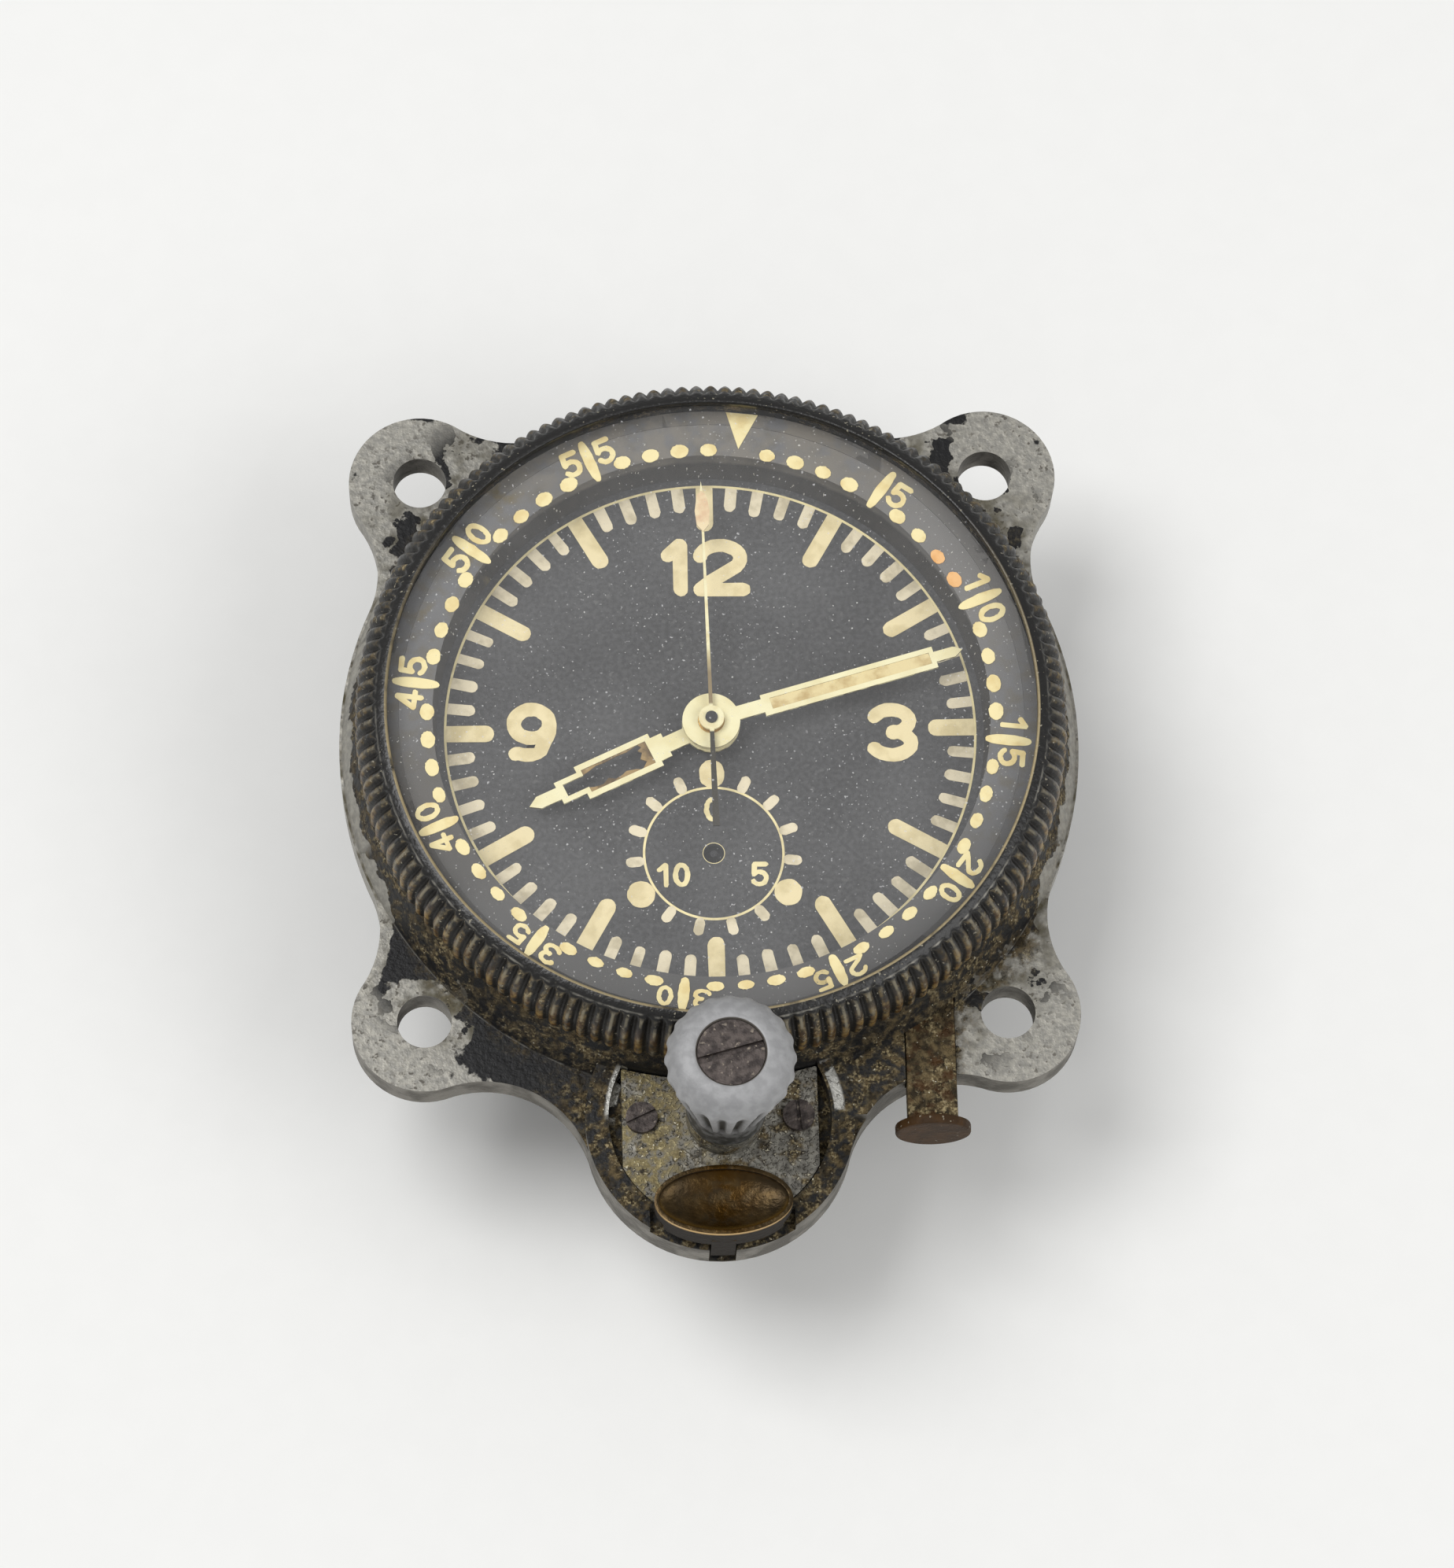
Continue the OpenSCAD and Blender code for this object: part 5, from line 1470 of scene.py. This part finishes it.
class CLOCK_OT_dial(bpy.types.Operator):
    """Finish the dial, and paint its bars, its figures and the small counter dial"""

    bl_idname = "clock.dial"
    bl_label = "Dial"

    def execute(self, context):
        settings, colours = context.scene.clock_dial, context.scene.clock_finish
        dress(dial_black(colours), "dial")
        low = DIAL_TOP + LIFT
        high = low + settings.paint
        brush = random.Random(12)
        lume = aged_lume("dial_lume_aged", colours.lume, linear("e2d09c"))
        thin = aged_lume("dial_lume_thin", linear("f2e5c4"), linear("c8bb9a"), 0.4)
        cream = aged_lume("dial_print_cream", colours.scale_paint, linear("e5d5a0"))
        bars, small_bars = bmesh.new(), bmesh.new()
        for minute in range(MINUTES):
            angle = math.tau * minute / MINUTES
            hour = minute % (MINUTES // HOURS) == 0
            quarter = minute % (MINUTES // 4) == 0
            if quarter:
                length = settings.quarter_length
            elif hour:
                length = settings.hour_length
            else:
                length = settings.minute_length
            length *= brush.uniform(0.95, 1.05)
            width = (settings.hour_width if hour else settings.minute_width) * brush.uniform(0.94, 1.06)
            outer = settings.track_radius - settings.line / 2
            outline = brushed(bar_outline(angle, outer - length, outer, width), brush)
            slab(bars if hour else small_bars, outline, low, high)
        add_piece("dial_hour_bars", bars, lume, "case")
        add_piece("dial_minute_bars", small_bars, thin, "case")
        figures = bmesh.new()
        for digit, spot, stretch in self.figure_places():
            add_figure(
                figures,
                digit,
                settings.figure_height,
                settings.figure_stroke,
                moved(spot),
                low,
                high,
                brush,
                stretch,
            )
        add_piece("dial_figures", figures, lume, "case")
        self.counter_marks(settings, lume, thin, low, high, brush)
        self.printing(settings, cream, low, high - 3 * STEP, brush)
        return {"FINISHED"}

    @staticmethod
    def printing(settings, cream, low, high, brush):
        """The circles of the dial and of the small dial, and the small figures."""
        bm = bmesh.new()
        half = settings.line / 2
        hole = settings.counter_hole
        steps = 180
        circles = (
            ((0.0, 0.0), settings.track_radius - half, settings.track_radius + half),
            (COUNTER_AXIS, settings.counter_radius - half, settings.counter_radius + half),
            (COUNTER_AXIS, hole, hole + half / 2),
        )
        for centre, inner, outer in circles:
            hoop(bm, disc_outline(centre, inner, steps), disc_outline(centre, outer, steps), low, high)
        height = settings.counter_figure
        stroke = height * 0.2
        # Places in mm from the small dial's middle
        places = (("5", 3.75, -1.9), ("1", -4.15, -1.85), ("0", -2.7, -1.85), ("worn 0", 0.0, 3.85))
        for digit, x, y in places:
            spot = (COUNTER_AXIS[0] + x * MM, COUNTER_AXIS[1] + y * MM)
            add_figure(bm, digit, height, stroke, moved(spot), low, high, brush)
        add_piece("dial_print", bm, cream, "case")

    @staticmethod
    def figure_places():
        """Each large figure, the middle of it on the dial, and how wide it is drawn."""
        return (
            ("1", (-2.5 * MM, 14.7 * MM), 0.85),
            ("2", (1.25 * MM, 14.65 * MM), 1.2),
            ("3", (15.15 * MM, -0.36 * MM), 1.14),
            ("9", (-14.85 * MM, 0.1 * MM), 1.0),
        )

    @staticmethod
    def counter_marks(settings, lume, thin, low, high, brush):
        """Fifteen marks round the small dial: a large oval at 0, discs at 5 and 10, short bars between."""
        large, small = bmesh.new(), bmesh.new()
        count = 15
        start = settings.counter_radius + settings.line / 2
        inner = start - 0.1 * MM
        oval_length, oval_width, oval_steps, disc_radius = 2.35 * MM, 2.05 * MM, 14, 1.15 * MM
        for i in range(count):
            angle = math.tau * i / count
            if i == 0:
                outline = bar_outline(angle, inner, start + oval_length, oval_width, True, oval_steps)
            elif i % 5 == 0:
                outline = disc_outline(clockwise((0.0, start + disc_radius), angle), disc_radius)
            else:
                outer = start + settings.counter_length
                outline = bar_outline(angle, inner, outer, settings.counter_width, True)
            outline = brushed([(x + COUNTER_AXIS[0], y + COUNTER_AXIS[1]) for x, y in outline], brush)
            slab(small if i % 5 else large, outline, low, high)
        add_piece("counter_large_marks", large, lume, "case")
        add_piece("counter_small_marks", small, thin, "case")


class CLOCK_OT_hands(bpy.types.Operator):
    """Finish the hands and add what is left of their luminous filling"""

    bl_idname = "clock.hands"
    bl_label = "Hands"

    def execute(self, context):
        colours = context.scene.clock_finish
        dress(hand_paint(colours), "hour_hand", "minute_hand")
        dress(aged_lume("hand_lume_tan", linear("efdca2"), linear("c9ad70"), 0.35), "minute_lume")
        dress(sweep_paint(colours), "sweep_hand")
        self.sweep_lozenge(aged_lume("sweep_lume_pale", linear("f7e2b4"), linear("e5bf95"), 0.4))
        self.hour_crumbs(aged_lume("hand_lume_browned", linear("a88b58"), linear("5f4a2a"), 0.3))
        return {"FINISHED"}

    @staticmethod
    def sweep_lozenge(material):
        """Drop of luminous paint on the sweep hand near its tip."""
        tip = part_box("sweep_hand")[1]
        lean = math.radians(-1.0)
        # Half of the outline, in mm across the hand and along it from its tip
        half = [(0.4, -1.3), (0.62, -2.7), (0.5, -4.0)]
        outline = [(-x, y) for x, y in reversed(half)] + [(0.0, -0.9)] + half + [(0.0, -4.6)]
        bm = bmesh.new()
        points = [clockwise((x * MM, tip.y + y * MM), lean) for x, y in outline]
        slab(bm, points, tip.z - 0.12 * MM, tip.z + 0.09 * MM)
        add_piece("sweep_lume", bm, material, "sweep")

    @staticmethod
    def hour_crumbs(material):
        """Crumbs of filling left at the hub end and along both sides of the hour hand's window."""
        low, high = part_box("hour_hand")
        # Half of the window's width and its two ends, in mm across the hand and along it from the hub
        wall, start, end = 1.04, 5.62, 11.48
        near = [(-wall, start), (wall, start), (wall, 6.3), (0.72, 6.1), (0.55, 6.5), (0.25, 6.25)]
        near += [(-0.2, 6.6), (-0.6, 6.2), (-wall, 6.75)]
        left = [(-wall, 6.9), (-0.84, 7.3), (-0.62, 8.1), (-0.8, 8.6), (-0.86, 9.2), (-0.52, 9.7)]
        left += [(-0.84, 10.3), (-0.74, 11.1), (-0.6, end), (-wall, end)]
        right = [(wall, 6.5), (0.86, 7.4), (0.92, 8.3), (0.84, 9.4), (0.9, 10.2), (0.7, 11.0)]
        right += [(0.62, end), (wall, end)]
        bm = bmesh.new()
        for outline in (near, left, right):
            points = [clockwise((x * MM, y * MM), HOUR_HAND_TURN) for x, y in outline]
            slab(bm, points, low.z + 0.02 * MM, high.z - 0.06 * MM)
        add_piece("hour_lume_crumbs", bm, material, "hour_train")


class CLOCK_OT_knob(bpy.types.Operator):
    """Make the fluted winding knob, and finish its screw and the cover plate with its screws"""

    bl_idname = "clock.knob"
    bl_label = "Winding knob"

    def execute(self, context):
        colours = context.scene.clock_finish
        self.grip(context.scene.clock_knob)
        dress(browned_steel(), "crown_screw", "cover_screws")
        soften("cover_plate", 0.2, grimed_plate(colours), "case")
        return {"FINISHED"}

    @staticmethod
    def grip(settings):
        """Tapered knob with rounded flutes that run out over its shoulder."""
        low, top = (corner.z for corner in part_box("crown"))
        bore, radius = reach("crown", KNOB_AXIS)
        seat_r = reach("crown_screw", KNOB_AXIS)[1] + 0.05 * MM
        foot, shoulder = settings.foot_radius, settings.shoulder
        foot_top, side_top = low + settings.foot_height, top - shoulder
        foot_chamfer, foot_edge, seat_chamfer = 0.2 * MM, 0.3 * MM, 0.1 * MM
        lean = math.atan2(radius - foot, side_top - foot_top)
        side = math.hypot(radius - foot, side_top - foot_top)
        level, out, up = (0.0, 0.0), (1.0, 0.0), (0.0, 1.0)
        points = [(bore, low, level, None), (foot - foot_chamfer, low, level, None)]
        points += [(foot, low + foot_edge, out, None), (foot, foot_top - foot_edge, out, None)]
        way = (math.cos(lean), -math.sin(lean))
        side_steps, arc_steps = 26, 12
        for step in range(side_steps):
            share = step / side_steps
            spot = (foot + (radius - foot) * share, foot_top + (side_top - foot_top) * share)
            points.append((*spot, way, side * share))
        for step in range(arc_steps + 1):
            turn = math.pi / 2 * step / arc_steps
            way = (math.cos(turn), math.sin(turn))
            spot = (radius - shoulder + shoulder * way[0], side_top + shoulder * way[1])
            points.append((*spot, way, side + shoulder * turn))
        points += [(seat_r + seat_chamfer, top, up, None), (seat_r, top - seat_chamfer, up, None)]
        points += [(seat_r, top - settings.seat, level, None), (bore, top - settings.seat, level, None)]
        # Where the flutes begin, the round of their lower end, and how they fade out over the shoulder
        begin, round_end, fade_below = 0.2 * MM, (0.3 * MM, 0.6 * MM), 1.5 * MM
        fade = shoulder * math.radians(50)

        def cut(column, along):
            """Depth of the flutes at one column, 0 to 1."""
            if along <= begin:
                return 0.0
            off = (2 * (column % KNOB_COLUMNS) / KNOB_COLUMNS - 1) / settings.flute_share
            start = max(0.0, 1 - (along - round_end[0]) / round_end[1])
            room = 1 - off * off - start * start
            run_out = min(1.0, max(0.0, (side + fade - along) / (fade + fade_below)))
            return max(0.0, room) * run_out

        bm = bmesh.new()
        revolve(bm, points, settings.flutes * KNOB_COLUMNS, settings.flute_depth, cut, KNOB_AXIS)
        add_piece("knob_grip", bm, handled_alloy(), "knob", replaces=("crown",))


class CLOCK_OT_push_pieces(bpy.types.Operator):
    """Finish the thumb plate and the setting push-piece, with the springs behind them"""

    bl_idname = "clock.push_pieces"
    bl_label = "Push-pieces"

    def execute(self, context):
        colours = context.scene.clock_finish
        soften("thumb_plate", 0.16, patinated_brass(), "thumb_piece")
        button = browned_piece(colours, "steel_button_browned", False)
        soften("setting_button", 0.15, button, "setting_piece")
        bar = browned_piece(colours, "steel_bar_gritty", True)
        soften("setting_bar", 0.15, bar, "setting_piece")
        spring = grained_metal("spring_steel_coiled", linear("a5a6a8"), linear("77787b"), 0.3, 0.15)
        self.coil("thumb_push", spring)
        self.coil("setting_push", spring)
        return {"FINISHED"}

    @staticmethod
    def coil(joint_name, material):
        """Copy of the coil spring behind a push-piece."""
        joint = next(j for j in frame["record"]["behaviour"]["joints"] if j["name"] == joint_name)
        spring = joint["deforming_nodes"][0]
        letter = spring["mode"][-1]
        way = "xyz".index(letter)
        fixed = spring[f"fixed_end_{letter}_m"]
        node = spring["node"]
        bm = bmesh.new()
        bm.from_mesh(NODES[node].data)
        piece = add_piece(node + "_coil", bm, material, "case", replaces=(node,))
        anchor = middle(node)
        anchor[way] = fixed
        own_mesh(piece)


class CLOCK_OT_movement(bpy.types.Operator):
    """Finish the plates, wheels, arbors, springs, screws and jewels of the movement"""

    bl_idname = "clock.movement"
    bl_label = "Movement"

    def execute(self, context):
        colours = context.scene.clock_finish
        plate = grained_metal("gilt_brass_grained", colours.brass, linear("b8944e"), 0.34, 0.5)
        dress(plate, "main_plate", "back_plate", "balance_cock", "sweep_bridge", "counter_bridge")
        dress(plate, "dial_spacer", "pillars", "cock_pillar")
        even = (6.0, 6.0, 1.0)
        wheel = grained_metal("brass_wheel_circular", linear("d3ad5f"), linear("a9833f"), 0.28, 0.3, even)
        dress(wheel, "barrel", "barrel_cover", "centre_wheel", "third_wheel", "fourth_wheel", "minute_wheel")
        dress(wheel, "hour_wheel", "transfer_wheel", "balance_wheel")
        dark = grained_metal("steel_arbor_darkened", linear("3c3c3e"), linear("262628"), 0.4, 0.25)
        dress(dark, "counter_wheel", "sweep_arbor", "case_screws")
        steel = grained_metal("steel_arbor_polished", colours.steel, linear("96989b"), 0.2, 0.25)
        dress(steel, "winding_shaft", "winding_wheel", "ratchet_wheel", "click", "plate_studs")
        dress(steel, "barrel_arbor", "cannon_pinion", "escape_wheel", "pallet_fork", "heart_cam")
        blued = grained_metal("steel_blued", linear("3d5a96"), linear("27396a"), 0.24, 0.25)
        dress(blued, "movement_screws", "pillar_screws", "sweep_bridge_screw", "mainspring", "hairspring")
        dress(ruby(), "jewels")
        return {"FINISHED"}


class CLOCK_OT_stage(bpy.types.Operator):
    """Set the floor, the lamps and the camera"""

    bl_idname = "clock.stage"
    bl_label = "Stage"

    def execute(self, context):
        scene, settings = context.scene, context.scene.clock_stage
        half = settings.floor_size / 2
        corners = ((-half, -half), (half, -half), (half, half), (-half, half))
        bm = bmesh.new()
        bm.faces.new([bm.verts.new((x, y, CAD_BOX[0].z)) for x, y in corners])
        mesh = bpy.data.meshes.new("floor")
        bm.to_mesh(mesh)
        bm.free()
        mesh.materials.append(matt_floor(tuple(settings.floor_colour)))
        floor = bpy.data.objects.new("floor", mesh)
        scene.collection.objects.link(floor)
        world = bpy.data.worlds.new("studio")
        world.use_nodes = True
        world.node_tree.nodes.clear()
        white = {"Color": (1.0, 1.0, 1.0, 1.0), "Strength": settings.sky}
        sky = put(world.node_tree, "ShaderNodeBackground", white)
        put(world.node_tree, "ShaderNodeOutputWorld", {"Surface": sky.outputs[0]})
        scene.world = world
        self.lamp("key", place=(-0.36, 0.1, 0.8), size=0.45, power=settings.key_power)
        self.lamp("fill", place=(0.5, -0.25, 0.6), size=0.5, power=settings.fill_power)
        camera = bpy.data.cameras.new("camera")
        camera.sensor_fit = "VERTICAL"
        camera.sensor_height = SENSOR_HEIGHT
        camera.lens = settings.lens
        camera.clip_start = 0.01
        eye = bpy.data.objects.new("camera", camera)
        right, up = Vector(settings.right), Vector(settings.up)
        turn = Matrix((right, up, right.cross(up))).transposed()
        eye.matrix_world = Matrix.Translation(Vector(settings.eye)) @ turn.to_4x4()
        scene.collection.objects.link(eye)
        scene.camera = eye
        scene.view_settings.view_transform = "Standard"
        return {"FINISHED"}

    @staticmethod
    def lamp(name, place, size, power):
        """Square soft lamp that faces the clock."""
        light = bpy.data.lights.new(name, "AREA")
        light.size = size
        light.energy = power
        lamp = bpy.data.objects.new(name, light)
        lamp.location = place
        lamp.rotation_euler = (-Vector(place)).to_track_quat("-Z", "Y").to_euler()
        bpy.context.scene.collection.objects.link(lamp)


class CLOCK_PT_panel(bpy.types.Panel):
    """Steps that dress the clock, and the values they use"""

    bl_idname = "CLOCK_PT_panel"
    bl_label = "Panel Clock"
    bl_space_type = "VIEW_3D"
    bl_region_type = "UI"
    bl_category = "Clock"

    def draw(self, context):
        for step in STEPS:
            self.layout.operator(step.bl_idname)
        for name, group in GROUPS.items():
            box = self.layout.box()
            for setting in group.__annotations__:
                box.prop(getattr(context.scene, name), setting)


STEPS = (
    CLOCK_OT_case,
    CLOCK_OT_bezel,
    CLOCK_OT_crystal,
    CLOCK_OT_dial,
    CLOCK_OT_hands,
    CLOCK_OT_knob,
    CLOCK_OT_push_pieces,
    CLOCK_OT_movement,
    CLOCK_OT_stage,
)
GROUPS = {
    "clock_dial": DialSettings,
    "clock_scale": ScaleSettings,
    "clock_bezel": BezelSettings,
    "clock_knob": KnobSettings,
    "clock_finish": FinishSettings,
    "clock_stage": StageSettings,
}


def register():
    for group in GROUPS.values():
        bpy.utils.register_class(group)
    for step in STEPS:
        bpy.utils.register_class(step)
    bpy.utils.register_class(CLOCK_PT_panel)
    for name, group in GROUPS.items():
        setattr(bpy.types.Scene, name, PointerProperty(type=group))


def unregister():
    for name in GROUPS:
        delattr(bpy.types.Scene, name)
    bpy.utils.unregister_class(CLOCK_PT_panel)
    for step in reversed(STEPS):
        bpy.utils.unregister_class(step)
    for group in reversed(GROUPS.values()):
        bpy.utils.unregister_class(group)


def main():
    register()
    bpy.ops.clock.case()
    bpy.ops.clock.bezel()
    bpy.ops.clock.crystal()
    bpy.ops.clock.dial()
    bpy.ops.clock.hands()
    bpy.ops.clock.knob()
    bpy.ops.clock.push_pieces()
    bpy.ops.clock.movement()
    bpy.ops.clock.stage()


if __name__ == "__main__":
    main()
